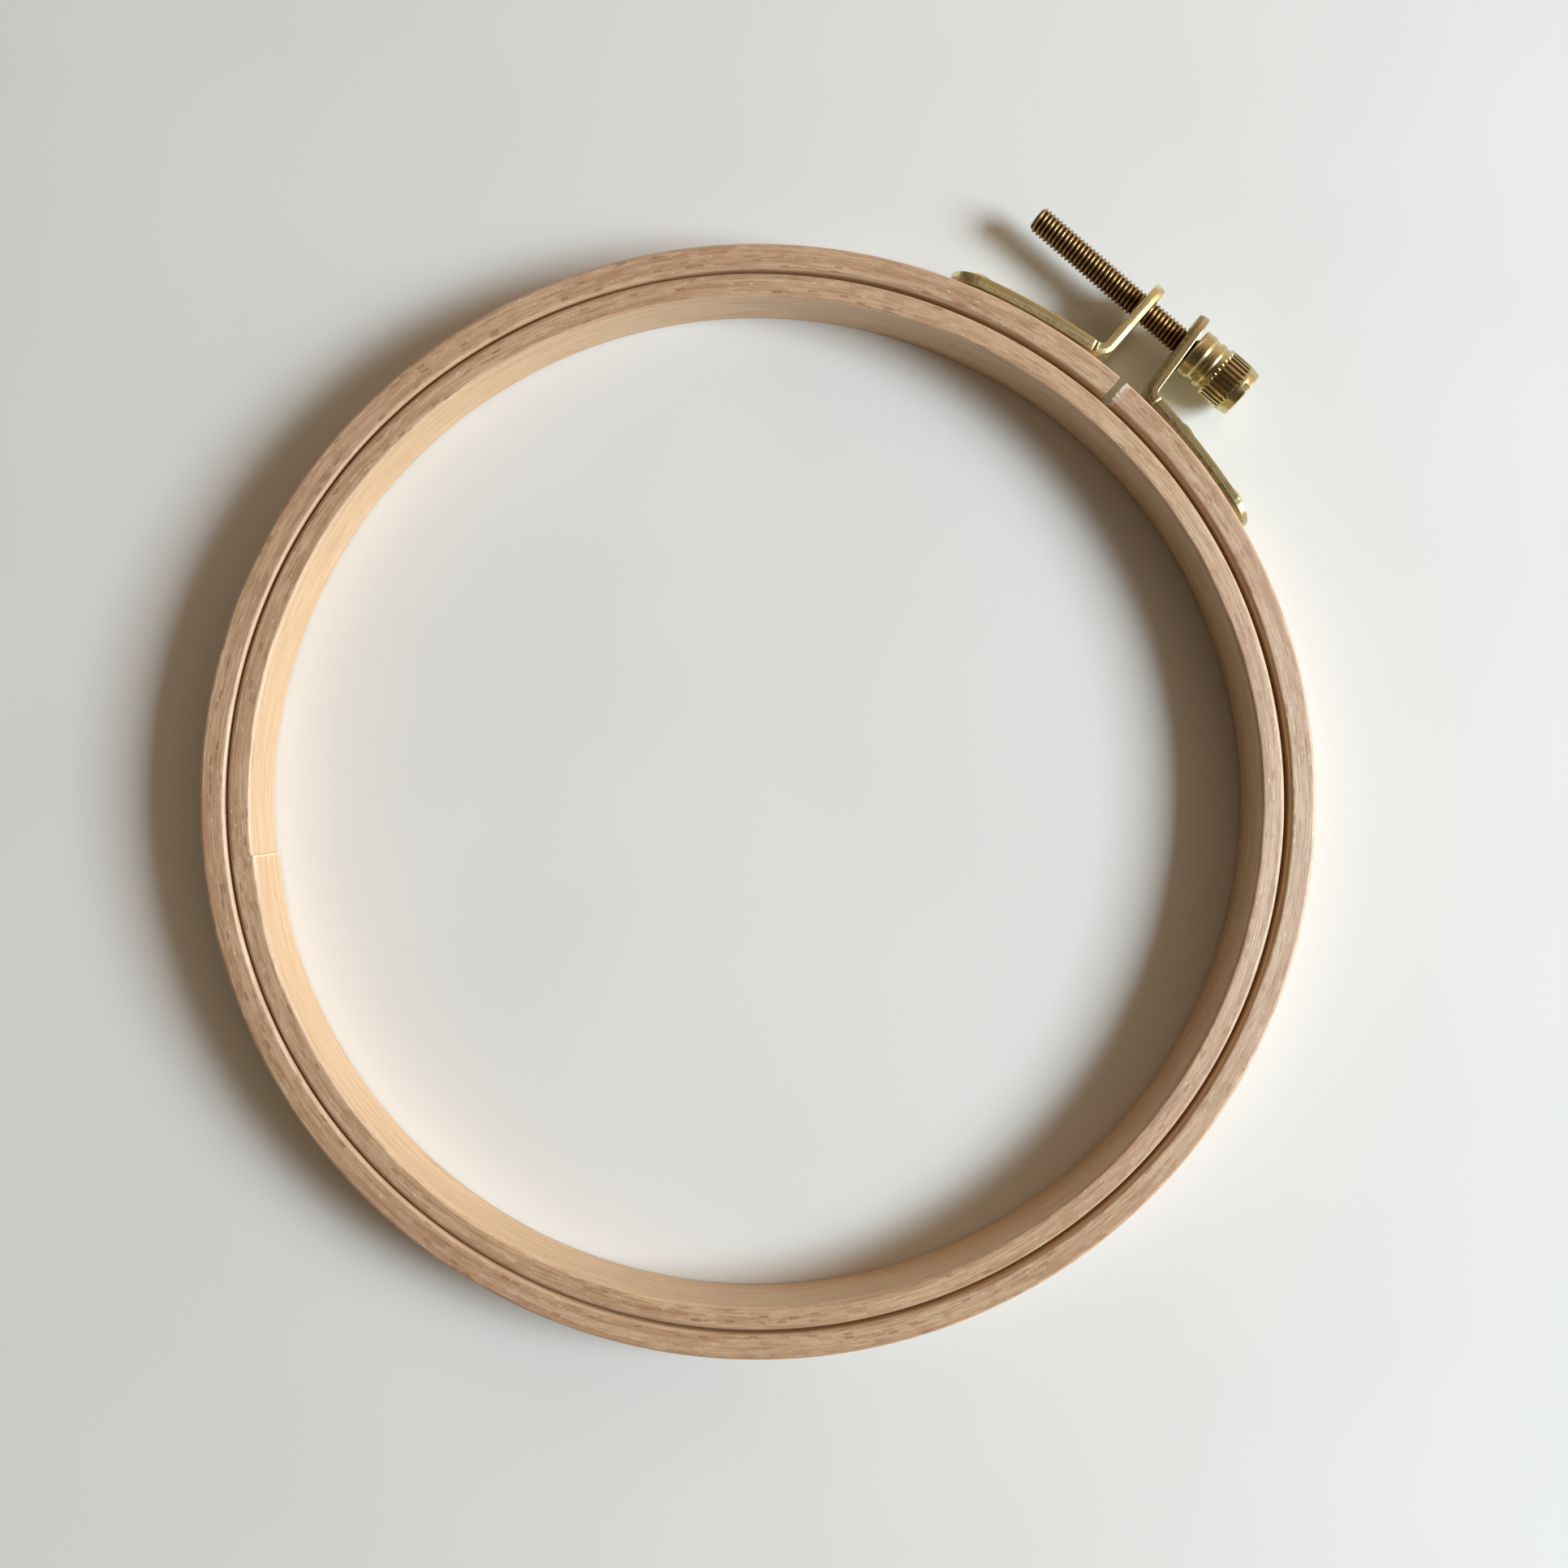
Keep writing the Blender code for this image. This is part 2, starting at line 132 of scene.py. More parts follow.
SLOT_DEPTH = 1.0 * MM
SLOT_TURN = 95.0  # degrees from level
METAL_SHARP = 50.0
SLOT_SHARP = 42.0


def wave(x, y=0.0, z=0.0):
    """Smooth noise from -1 to 1."""
    return noise.noise(Vector((x, y, z)))


def smooth(value, low, high):
    """Rises softly from 0 at low to 1 at high."""
    t = min(1.0, max(0.0, (value - low) / (high - low)))
    return t * t * (3 - 2 * t)


# ---------------------------------------------------------------- meshes


def new_object(name, mesh, material):
    obj = bpy.data.objects.new(name, mesh)
    bpy.context.scene.collection.objects.link(obj)
    mesh.materials.append(material)
    return obj


def shade(mesh, sharp):
    """Smooth, apart from edges that turn by more than sharp degrees."""
    mesh.shade_smooth()
    mesh.set_sharp_from_angle(angle=math.radians(sharp))


def mesh_from(name, points, faces):
    mesh = bpy.data.meshes.new(name)
    mesh.from_pydata(points, [], faces)
    mesh.shade_smooth()
    return mesh


def set_values(mesh, name, values):
    attribute = mesh.attributes.new(name, "FLOAT", "POINT")
    attribute.data.foreach_set("value", values)


def grid_faces(rows, columns, close_rows=False, close_columns=False):
    """Quads of a grid whose point (row, column) has the index row * columns + column."""
    faces = []
    for i in range(rows if close_rows else rows - 1):
        for k in range(columns if close_columns else columns - 1):
            a, b = i * columns, (i + 1) % rows * columns
            n = (k + 1) % columns
            faces.append((a + k, b + k, b + n, a + n))
    return faces


def close_mesh(mesh, gap):
    """Joins points that lie within a gap, fills what is left open and turns the faces outwards."""
    bm = bmesh.new()
    bm.from_mesh(mesh)
    bmesh.ops.remove_doubles(bm, verts=bm.verts, dist=gap)
    bmesh.ops.dissolve_degenerate(bm, edges=bm.edges, dist=0.001 * MM)
    bmesh.ops.holes_fill(bm, edges=[e for e in bm.edges if e.is_boundary], sides=0)
    bmesh.ops.recalc_face_normals(bm, faces=bm.faces)
    bm.to_mesh(mesh)
    bm.free()


def face_outwards(mesh):
    bm = bmesh.new()
    bm.from_mesh(mesh)
    bmesh.ops.recalc_face_normals(bm, faces=bm.faces)
    bm.to_mesh(mesh)
    bm.free()


def cut_away(obj, name, cutter_bm, sharp):
    """Cuts a tool's shape out of the object's mesh for good, and shades what is left."""
    cutter_mesh = bpy.data.meshes.new(name)
    cutter_bm.to_mesh(cutter_mesh)
    cutter_bm.free()
    cutter = bpy.data.objects.new(name, cutter_mesh)
    bpy.context.scene.collection.objects.link(cutter)
    modifier = obj.modifiers.new("cut", "BOOLEAN")
    modifier.operation = "DIFFERENCE"
    modifier.solver = "EXACT"
    modifier.object = cutter
    bpy.context.view_layer.update()
    graph = bpy.context.evaluated_depsgraph_get()
    mesh = bpy.data.meshes.new_from_object(obj.evaluated_get(graph))
    obj.modifiers.clear()
    obj.data = mesh
    bpy.data.objects.remove(cutter)
    shade(mesh, sharp)


def ring_section(inside, outside):
    """A rounded rectangle as (radius, height, outward radial, outward up, corner share) points."""
    corner_steps, top_steps, wall_steps = 6, 12, 16
    corners = [
        (outside - EDGE_ROUND, RING_HEIGHT - EDGE_ROUND, 90),
        (outside - EDGE_ROUND, EDGE_ROUND, 0),
        (inside + EDGE_ROUND, EDGE_ROUND, -90),
        (inside + EDGE_ROUND, RING_HEIGHT - EDGE_ROUND, -180),
    ]
    section = []
    for index, (r, z, start) in enumerate(corners):
        for step in range(corner_steps + 1):
            angle = math.radians(start - 90 * step / corner_steps)
            share = math.sin(math.pi * step / corner_steps)
            out, up = math.cos(angle), math.sin(angle)
            section.append((r + EDGE_ROUND * out, z + EDGE_ROUND * up, out, up, share))
        # the flat between this corner and the next keeps the direction of this corner's end
        r1, z1, out, up, _ = section[-1]
        next_r, next_z, next_start = corners[(index + 1) % 4]
        angle = math.radians(next_start)
        r2 = next_r + EDGE_ROUND * math.cos(angle)
        z2 = next_z + EDGE_ROUND * math.sin(angle)
        steps = wall_steps if index % 2 == 0 else top_steps
        for step in range(1, steps):
            t = step / steps
            section.append((r1 + (r2 - r1) * t, z1 + (z2 - z1) * t, out, up, 0.0))
    return section


def relief(along, r, z, corner, seed):
    """How far the sanded surface lies inside its nominal one: corners rounded by wear, faint lengthwise
    ridges.
    """
    at_corner = 0.07 * MM * corner * (1 + wave(along / (9 * MM), seed, z / (6 * MM)))
    swell = 0.035 * MM * (1 + wave(along / (26 * MM), r / (3 * MM), z / (4 * MM) + seed))
    ridge = 0.010 * MM * (1 + wave(along / (14 * MM), r / (0.35 * MM), z / (0.35 * MM) + seed))
    return at_corner + swell + ridge


def grid_grain(stations, section):
    """Each face corner's place in the wood, in the order of grid_faces: along the strip, across it, up it."""
    width = len(section)
    grain = []
    for i in range(len(stations) - 1):
        for k in range(width):
            n = (k + 1) % width
            for row, column in ((i, k), (i + 1, k), (i + 1, n), (i, n)):
                r, z = section[column][:2]
                grain.append((stations[row], r, z))
    return grain


def write_grain(mesh, corner_grain):
    attribute = mesh.attributes.new("grain", "FLOAT_VECTOR", "CORNER")
    attribute.data.foreach_set("vector", [value for corner in corner_grain for value in corner])


def end_stations():
    """Distances along a strip from its cut end, close together where the fibres are torn."""
    stations, place = [0.0], 0.0
    step, growth = 0.05 * MM, 1.09
    while place < TORN_LENGTH:
        place += step
        stations.append(place)
        step *= growth
    return stations


def tear(side, r, z, depth):
    """How far the sawn end is torn back or left standing, fading out along the strip."""
    coarse = wave(r / (0.62 * MM), z / (0.75 * MM), 7.3 * side)
    fine = wave(r / (0.17 * MM), z / (0.30 * MM), 3.1 * side)
    return (0.13 * MM * coarse + 0.11 * MM * fine) * math.exp(-depth / (0.35 * MM))


def outer_ring(material):
    inside, outside = OUTER_RADIUS - OUTER_WALL, OUTER_RADIUS
    section = ring_section(inside, outside)
    width = len(section)
    length = 2 * math.pi * OUTER_RADIUS - SPLIT_GAP
    near = end_stations()
    middle_steps = 700
    span = length - 2 * near[-1]
    stations = near + [near[-1] + span * i / middle_steps for i in range(1, middle_steps)]
    stations += [length - s for s in reversed(near)]
    points, corner_share, end_share = [], [], []

    def place(along, r, z):
        """A point of the strip. Its two ends stay parallel to the split's middle plane."""
        half = math.asin(SPLIT_GAP / 2 / r)
        first, last = along, length - along
        torn = tear(1, r, z, first) - tear(-1, r, z, last)
        angle = half + (2 * math.pi - 2 * half) * along / length + torn / r
        return Vector((r * math.sin(angle), r * math.cos(angle), z))

    for along in stations:
        for r, z, out, up, corner in section:
            inset = relief(along, r, z, corner, 2.0)
            # the ends are handled, so their corners are rounder
            inset += 0.10 * MM * corner * math.exp(-min(along, length - along) / (0.5 * MM))
            points.append(place(along, r - out * inset, z - up * inset))
            corner_share.append(corner)
            first, last = along / (0.75 * MM), (length - along) / (0.28 * MM)
            end_share.append(math.exp(-first) + 0.7 * math.exp(-last))
    faces = grid_faces(len(stations), width, close_columns=True)
    grain = grid_grain(stations, section)

    # each sawn end is closed by smaller and smaller copies of the section, down to one middle point
    rings = 7
    middle_r, middle_z = (inside + outside) / 2, MID_HEIGHT
    for row, flip in ((0, True), (len(stations) - 1, False)):
        along = stations[row]
        previous = [row * width + k for k in range(width)]
        for ring in range(1, rings):
            share = 1 - ring / rings
            base = len(points)
            for r, z, *_ in section:
                cap_r = middle_r + (r - middle_r) * share
                cap_z = middle_z + (z - middle_z) * share
                points.append(place(along, cap_r, cap_z))
                corner_share.append(0.0)
                end_share.append(1.0)
            for k in range(width):
                n = (k + 1) % width
                face = (previous[k], base + k, base + n, previous[n])
                faces.append(face[::-1] if flip else face)
                for _ in range(4):
                    grain.append((along, section[k][0], section[k][1] * share))
            previous = [base + k for k in range(width)]
        points.append(place(along, middle_r, middle_z))
        corner_share.append(0.0)
        end_share.append(1.0)
        for k in range(width):
            n = (k + 1) % width
            face = (previous[k], len(points) - 1, previous[n])
            faces.append(face[::-1] if flip else face)
            for _ in range(3):
                grain.append((along, section[k][0], 0.0))
    mesh = mesh_from("outer_ring", points, faces)
    shade(mesh, RING_SHARP)
    set_values(mesh, "corner", corner_share)
    set_values(mesh, "end", end_share)
    write_grain(mesh, grain)
    obj = new_object("outer_ring", mesh, material)
    obj.location = (0, RING_Y, 0)
    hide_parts("outer_hoop_left", "outer_hoop_right")
    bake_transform(obj)


def inner_ring(material):
    inside, outside = INNER_RADIUS - INNER_WALL, INNER_RADIUS
    section = ring_section(inside, outside)
    width = len(section)
    length = 2 * math.pi * INNER_RADIUS
    steps = 760
    step_width = 0.06 * MM  # along the ring, from the top of the scarf's step to its foot
    stations = [step_width + (length - step_width) * i / steps for i in range(steps + 1)]
    stations.insert(0, 0.0)
    points, corner_share = [], []
    for along in stations[:-1]:
        angle = math.radians(SCARF_ANGLE) + along / INNER_RADIUS
        # the lapped end stands proud of the inside wall, and the step dies away along the ring
        to_step = 0.0 if along == 0.0 else length - along
        lap = SCARF_STEP * (1 - smooth(to_step, 0, SCARF_FADE))
        for r, z, out, up, corner in section:
            inset = relief(along % length, r, z, corner, 11.0)
            inward = 1 - smooth(r, inside, inside + INNER_WALL * 0.6)
            spot_r = r - out * inset - lap * inward
            points.append((spot_r * math.sin(angle), spot_r * math.cos(angle), z - up * inset))
            corner_share.append(corner)
    rows = len(stations) - 1
    faces = grid_faces(rows, width, close_rows=True, close_columns=True)
    seam = [0.0] * len(points)
    for k, (r, *_) in enumerate(section):
        if r < inside + EDGE_ROUND * 0.6:
            seam[k] = 1.0
    mesh = mesh_from("inner_ring", points, faces)
    shade(mesh, RING_SHARP)
    set_values(mesh, "corner", corner_share)
    set_values(mesh, "seam", seam)
    write_grain(mesh, grid_grain(stations, section))
    obj = new_object("inner_ring", mesh, material)
    obj.location = (INNER_SHIFT[0], RING_Y + INNER_SHIFT[1], 0)
    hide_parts("inner_hoop")
    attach(obj, "inner_hoop")


# ---------------------------------------------------------------- ears


def foot_radius(ear):
    return OUTER_RADIUS + ear["gap"] + STRIP_THICKNESS / 2


def rivet_angles(ear):
    radius = foot_radius(ear)
    first = math.asin(ear["face"] / radius) + ear["first_rivet"] / radius
    return [first, first + RIVET_SPACING / radius]


def strip_path(ear):
    """The strip's middle line from its foot's end to the ear's tip, by distance, and its lengths.

    Returns the line, the foot's length, the bend's length and the whole length.
    """
    lean = math.radians(ear["lean"])
    seat = sum(rivet_angles(ear)) / 2
    foot_x = (foot_radius(ear) - FOOT_CURVE) * math.sin(seat)
    foot_y = (foot_radius(ear) - FOOT_CURVE) * math.cos(seat)
    bend_x = ear["face"] + (BEND_MID - STRIP_THICKNESS / 2) * math.cos(lean)
    start = math.asin((bend_x - foot_x) / (FOOT_CURVE + BEND_MID))
    bend_y = foot_y + (FOOT_CURVE + BEND_MID) * math.cos(start)
    foot_angle = seat + (RIVET_SPACING / 2 + FOOT_END) / FOOT_CURVE
    foot = FOOT_CURVE * (foot_angle - start)
    bend = BEND_MID * (math.pi / 2 - start - lean)
    corner_x = bend_x - BEND_MID * math.cos(lean)
    corner_y = bend_y - BEND_MID * math.sin(lean)
    tip = ear["tip"] - STRIP_THICKNESS / 2 * math.sin(lean)
    length = foot + bend + (tip - corner_y) / math.cos(lean)

    def middle(s):
        """Position and the normal that points away from the ring and from the split."""
        if s < foot:
            angle = foot_angle - s / FOOT_CURVE
            out = Vector((math.sin(angle), math.cos(angle)))
            return Vector((foot_x, foot_y)) + FOOT_CURVE * out, out
        if s < foot + bend:
            angle = start + (s - foot) / BEND_MID
            out = Vector((math.sin(angle), math.cos(angle)))
            return Vector((bend_x, bend_y)) - BEND_MID * out, out
        along = s - foot - bend
        spot = Vector((corner_x - along * math.sin(lean), corner_y + along * math.cos(lean)))
        return spot, Vector((math.cos(lean), math.sin(lean)))

    return middle, foot, bend, length


def sheared_edge():
    """The strip's cut edge, from its ring side out: (inset, offset through the thickness, torn share)."""
    half = STRIP_THICKNESS / 2
    points = [(1.1 * MM, -half, 0.0), (0.42 * MM, -half, 0.1), (0.27 * MM, -half + 0.02 * MM, 0.6)]
    for step in range(6):
        t = step / 5
        points.append(((0.22 - 0.19 * t) * MM, -half + 0.07 * MM + t * 0.72 * half, 1.0))
    points.append((0.015 * MM, -0.05 * MM, 0.5))
    rolled = 0.15 * MM  # the radius that shearing rolls over on the outer side
    for step in range(5):
        t = step / 4
        points.append((0.0, 0.02 * MM + t * (half - 0.17 * MM), 0.0))
    for step in range(1, 5):
        angle = math.pi / 2 * step / 4
        points.append((rolled * (1 - math.cos(angle)), half - rolled + rolled * math.sin(angle), 0.0))
    points.append((0.42 * MM, half, 0.0))
    points.append((1.1 * MM, half, 0.0))
    return points


def strip_stations(foot, bend, length):
    """Distances along the strip: fine at its round ends and its bend."""
    half = STRIP_WIDTH / 2
    end_steps, foot_steps, lip_steps, bend_steps, ear_steps = 20, 56, 15, 18, 24
    rounding = [half * (1 - math.cos(math.pi / 2 * i / end_steps)) for i in range(end_steps + 1)]
    stations = list(rounding)
    stations += [half + (foot - half) * i / foot_steps for i in range(1, foot_steps + 1)]
    stations += [foot - (0.9 - 0.06 * i) * MM for i in range(lip_steps)]
    stations.sort()
    stations += [foot + bend * i / bend_steps for i in range(1, bend_steps + 1)]
    straight = length - half - foot - bend
    stations += [foot + bend + straight * i / ear_steps for i in range(1, ear_steps)]
    stations += [length - s for s in reversed(rounding)]
    return stations


def bracket(name, node, body, ear, material):
    """A closed strip: its upper and lower cut edges, and the faces that join them."""
    side = ear["side"]
    middle, foot, bend, length = strip_path(ear)
    edge = sheared_edge()
    half = STRIP_WIDTH / 2
    stations = strip_stations(foot, bend, length)

    def half_width(s, inset):
        """Half the strip's width there, less an inset, with a round outline at both ends."""
        room = half - inset
        from_end = min(s, length - s)
        if from_end >= half:
            return room
        across = half - from_end
        return math.sqrt(max(0.0, room**2 - min(across, room) ** 2))

    def nick(s, offset):
        """A pinched lip across the edge, where the strip starts to bend and where its foot gets round."""
        depth = 0.0
        for place, size in ((foot - 0.25 * MM, 0.13 * MM), (half - 0.2 * MM, 0.07 * MM)):
            away = (s - place + 0.12 * offset) / (0.16 * MM)
            depth += size * (math.exp(-away * away) - 0.7 * math.exp(-((away - 1.9) ** 2)))
        return max(depth, -0.05 * MM)

    def spot(s, inset, offset, torn, high):
        """A point of the cut edge, on the high or the low side of the strip."""
        held = min(max(s, inset), length - inset)
        rough = torn * 0.035 * MM * wave(held / (0.16 * MM), offset / (0.3 * MM), side * 5.0)
        lines = (1 - torn) * 0.008 * MM * wave(held / (0.10 * MM), 4.0, side * 2.0)
        line, out = middle(held)
        height = half_width(held, inset)
        if inset < 1.0 * MM:
            height += (rough + lines - nick(held, offset)) * smooth(height, 0.0, 0.6 * MM)
        flat = line + out * offset
        sign = 1 if high else -1
        z = min(max(MID_HEIGHT + sign * height, 0.0), RING_HEIGHT)
        return Vector((side * flat.x, RING_Y + flat.y, z))

    points, torn_share, place = [], [], []
    width = len(edge)
    for high in (True, False):
        for s in stations:
            for inset, offset, torn in edge:
                points.append(spot(s, inset, offset, torn, high))
                torn_share.append(torn)
                place.append((s, offset, inset))
    rows = len(stations)
    block = rows * width
    faces = []
    for i in range(rows - 1):
        for k in range(width - 1):
            a, b = i * width + k, (i + 1) * width + k
            faces.append((a, a + 1, b + 1, b))
            faces.append((block + a, block + b, block + b + 1, block + a + 1))
        last = width - 1
        a, b = i * width, (i + 1) * width
        faces.append((a, b, block + b, block + a))
        faces.append((a + last, block + a + last, block + b + last, b + last))
    mesh = mesh_from(name, points, faces)
    set_values(mesh, "torn", torn_share)
    strip = mesh.attributes.new("strip", "FLOAT_VECTOR", "POINT")
    strip.data.foreach_set("vector", [value for spot_place in place for value in spot_place])
    close_mesh(mesh, 0.002 * MM)
    obj = new_object(name, mesh, material)

    lean = math.radians(ear["lean"])
    reach = SCREW_AXIS.y - RING_Y
    hole_x = ear["face"] - (reach - OUTER_RADIUS) * math.tan(lean) - STRIP_THICKNESS / 2
    hole_place = Matrix.Translation((side * hole_x, SCREW_AXIS.y, SCREW_AXIS.z))
    hole_place = hole_place @ Matrix.Rotation(math.pi / 2, 4, "Y")
    bm = bmesh.new()
    bmesh.ops.create_cone(
        bm,
        cap_ends=True,
        segments=64,
        radius1=EAR_HOLE_RADIUS,
        radius2=EAR_HOLE_RADIUS,
        depth=3 * STRIP_THICKNESS,
    )
    bmesh.ops.transform(bm, matrix=hole_place, verts=bm.verts)
    cut_away(obj, "ear_hole", bm, METAL_SHARP)
    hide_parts(node)
    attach(obj, body)


def rivet(name, node, body, ear, index, material):
    """A low dome on the outside of the strip. Its shank is inside the foot and the wood, so it isn't made."""
    seat = OUTER_RADIUS + ear["gap"] + STRIP_THICKNESS + RIVET_CLEARANCE
    angle = ear["side"] * rivet_angles(ear)[index]
    steps, turns = 16, 64
    rise = RIVET_DOME - RIVET_RIM
    profile = []
    for step in range(steps + 1):
        t = math.pi / 2 * step / steps
        profile.append((RIVET_HEAD * math.sin(t), RIVET_RIM * 0.6 + (rise + RIVET_RIM * 0.4) * math.cos(t)))
    profile.append((RIVET_HEAD, RIVET_RIM * 0.2))
    profile.append((RIVET_HEAD - 0.1 * MM, 0.0))
    points = [(0, 0, profile[0][1])]
    for i in range(turns):
        turn = 2 * math.pi * i / turns
        for r, z in profile[1:]:
            x, y = r * math.cos(turn), r * math.sin(turn)
            dent = 0.02 * MM * wave(x / (0.7 * MM), y / (0.7 * MM), index + 3.0)
            points.append((x, y, max(0.0, z - abs(dent))))
    count = len(profile) - 1
    faces = []
    for i in range(turns):
        a, b = 1 + i * count, 1 + (i + 1) % turns * count
        faces.append((0, a, b))
        for k in range(count - 1):
            faces.append((a + k, a + k + 1, b + k + 1, b + k))
    faces.append([1 + i * count + count - 1 for i in reversed(range(turns))])
    mesh = mesh_from(name, points, faces)
    shade(mesh, METAL_SHARP)
    turned = Matrix.Rotation(-angle, 4, "Z") @ Matrix.Rotation(-math.pi / 2, 4, "X")
    mesh.transform(Matrix.Translation((0, RING_Y, MID_HEIGHT)) @ turned @ Matrix.Translation((0, 0, seat)))
    obj = new_object(name, mesh, material)
    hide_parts(node)
    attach(obj, body)


# ---------------------------------------------------------------- clamp screw


def screw_point(x, r, turn):
    """A point at a distance from the screw's axis, turned from +Y towards +Z."""
    return Vector((x, SCREW_AXIS.y + r * math.cos(turn), SCREW_AXIS.z + r * math.sin(turn)))


def thread_height(t):
    """The thread's shape over one pitch, from 0 at its root to 1 at its crest, with soft corners."""
    return (0.5 - 0.5 * math.cos(2 * math.pi * t)) ** 0.8


def screw_rod(material):
    """A right-hand helical thread: each row is a line of the thread's profile, a little further on."""
    low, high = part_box("screw_rod")
    start, end = low.x, high.x
    rows, per_pitch = 48, 14
    pitches = math.ceil((end - start) / THREAD_PITCH) + 2
    count = pitches * per_pitch
    points, crest = [], []
    for j in range(rows):
        turn = 2 * math.pi * j / rows
        for k in range(count):
            x = start - 2 * THREAD_PITCH + THREAD_PITCH * (k / per_pitch + j / rows)
            height = thread_height(k % per_pitch / per_pitch)
            nick = 0.022 * MM * wave(x / (0.5 * MM), turn * 2, 9.0) * height
            r = THREAD_ROOT + (THREAD_RADIUS - THREAD_ROOT) * height - abs(nick)
            # what lies past an end is flattened onto it, and the chamfer limits the rest
            held = min(max(x, start), end)
            from_end = min(held - start, end - held)
            limit = THREAD_RADIUS - ROD_CHAMFER + from_end
            r = min(r, limit) if held == x else THREAD_RADIUS - ROD_CHAMFER
            points.append(screw_point(held, r, turn))
            crest.append(height if r < limit else 0.75)
    faces = []
    for j in range(rows):
        for k in range(count - 1):
            a, b = j * count + k, (j + 1) * count + k
            if j < rows - 1:
                faces.append((a, b, b + 1, a + 1))
            elif k + per_pitch + 1 < count:
                # the last row meets the first one a pitch further on
                faces.append((a, k + per_pitch, k + per_pitch + 1, a + 1))
    mesh = mesh_from("clamp_rod", points, faces)
    set_values(mesh, "crest", crest)
    close_mesh(mesh, 0.001 * MM)
    mesh.set_sharp_from_angle(angle=math.radians(METAL_SHARP))
    obj = new_object("clamp_rod", mesh, material)
    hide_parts("screw_rod")
    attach(obj, "clamp_screw")


def head_radius(x):
    """The head's side, at a distance from the end that faces the ear: collar, neck, shoulder, barrel."""
    if x < COLLAR_CHAMFER:
        return COLLAR_RADIUS - COLLAR_CHAMFER + x
    if x < SHOULDER_START:
        lip = 0.05 * MM * smooth(x, 1.05 * MM, 1.25 * MM) * (1 - smooth(x, 1.75 * MM, 1.9 * MM))
        neck = smooth(x, 1.85 * MM, 2.15 * MM) * (1 - smooth(x, 2.75 * MM, 3.0 * MM))
        dip = smooth(x, 3.5 * MM, 3.95 * MM)
        return COLLAR_RADIUS - 0.05 * MM + lip - neck * (COLLAR_RADIUS - NECK_RADIUS) - 0.14 * MM * dip
    rise = smooth(x, SHOULDER_START, SHOULDER_START + 0.5 * MM)
    crown = (x - BARREL_MIDDLE) / (2.6 * MM)
    barrel = BARREL_RADIUS - 0.09 * MM * min(1.0, crown * crown)
    barrel -= (BARREL_TAPER - 0.12 * MM) * smooth(x, GROOVE_END, HEAD_LENGTH)
    r = COLLAR_RADIUS - 0.19 * MM + (barrel - COLLAR_RADIUS + 0.19 * MM) * rise
    from_end = HEAD_LENGTH - x
    if from_end < HEAD_ROUND:
        r -= HEAD_ROUND - math.sqrt(max(0.0, HEAD_ROUND**2 - (HEAD_ROUND - from_end) ** 2))
    return r


def groove_cut(x, turn):
    """How deep the cut is: 0 on the lands, 1 in the bottom of a groove, whose ends are round."""
    spacing = 2 * math.pi / GROOVES
    across = ((turn / spacing) % 1 - 0.5) * spacing * BARREL_RADIUS
    wobble = 0.10 * MM * wave(round(turn / spacing - 0.5) * 3.7, 1.0)
    from_end = min(x - GROOVE_START - wobble, GROOVE_END + wobble - x)
    if from_end <= 0:
        return 0.0
    reach = min(1.0, from_end / (2.6 * GROOVE_HALF_WIDTH))
    room = GROOVE_HALF_WIDTH * math.sqrt(max(0.0, 1 - (1 - reach) ** 2))
    if abs(across) >= room:
        return 0.0
    return math.sqrt(1 - (across / room) ** 2) * reach


def screw_head(material):
    turns, rows = GROOVES * 12, 118
    places = [HEAD_LENGTH * i / rows for i in range(rows + 1)]
    # more of them where the chamfer starts and where the far end is rounded
    places += [extra * MM for extra in (0.03, 0.14, 9.72, 9.78, 9.86, 9.89)]
    places.sort()
    points, sunk = [], []
    for x in places:
        radius = head_radius(x)
        for i in range(turns):
            turn = 2 * math.pi * i / turns
            depth = groove_cut(x, turn)
            points.append(screw_point(HEAD_START + x, radius - GROOVE_DEPTH * depth, turn))
            sunk.append(depth)
    faces = grid_faces(len(places), turns, close_columns=True)
    for row, x, flip in ((0, 0.0, False), (len(places) - 1, HEAD_LENGTH, True)):
        previous = [row * turns + i for i in range(turns)]
        edge = head_radius(x)
        for share in (0.93, 0.6, 0.25):
            base = len(points)
            dome = 0.03 * MM * (1 - share) if flip else 0.0
            for i in range(turns):
                points.append(screw_point(HEAD_START + x + dome, edge * share, 2 * math.pi * i / turns))
                sunk.append(0.0)
            for i in range(turns):
                n = (i + 1) % turns
                face = (previous[i], previous[n], base + n, base + i)
                faces.append(face if flip else face[::-1])
            previous = [base + i for i in range(turns)]
        faces.append(previous if flip else previous[::-1])
    mesh = mesh_from("clamp_head", points, faces)
    set_values(mesh, "sunk", sunk)
    face_outwards(mesh)
    obj = new_object("clamp_head", mesh, material)

    bm = bmesh.new()
    bmesh.ops.create_cube(bm, size=1)
    size = (4 * SLOT_DEPTH, SLOT_WIDTH, 4 * BARREL_RADIUS)
    bmesh.ops.transform(bm, matrix=Matrix.Diagonal((*size, 1)), verts=bm.verts)
    centre = SCREW_AXIS + Vector((HEAD_START + HEAD_LENGTH + SLOT_DEPTH, 0, 0))
    leaning = Matrix.Rotation(-math.radians(90 - SLOT_TURN), 4, "X")
    bmesh.ops.transform(bm, matrix=Matrix.Translation(centre) @ leaning, verts=bm.verts)
    cut_away(obj, "head_slot", bm, SLOT_SHARP)
    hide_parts("screw_head")
    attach(obj, "clamp_screw")


# ---------------------------------------------------------------- materials


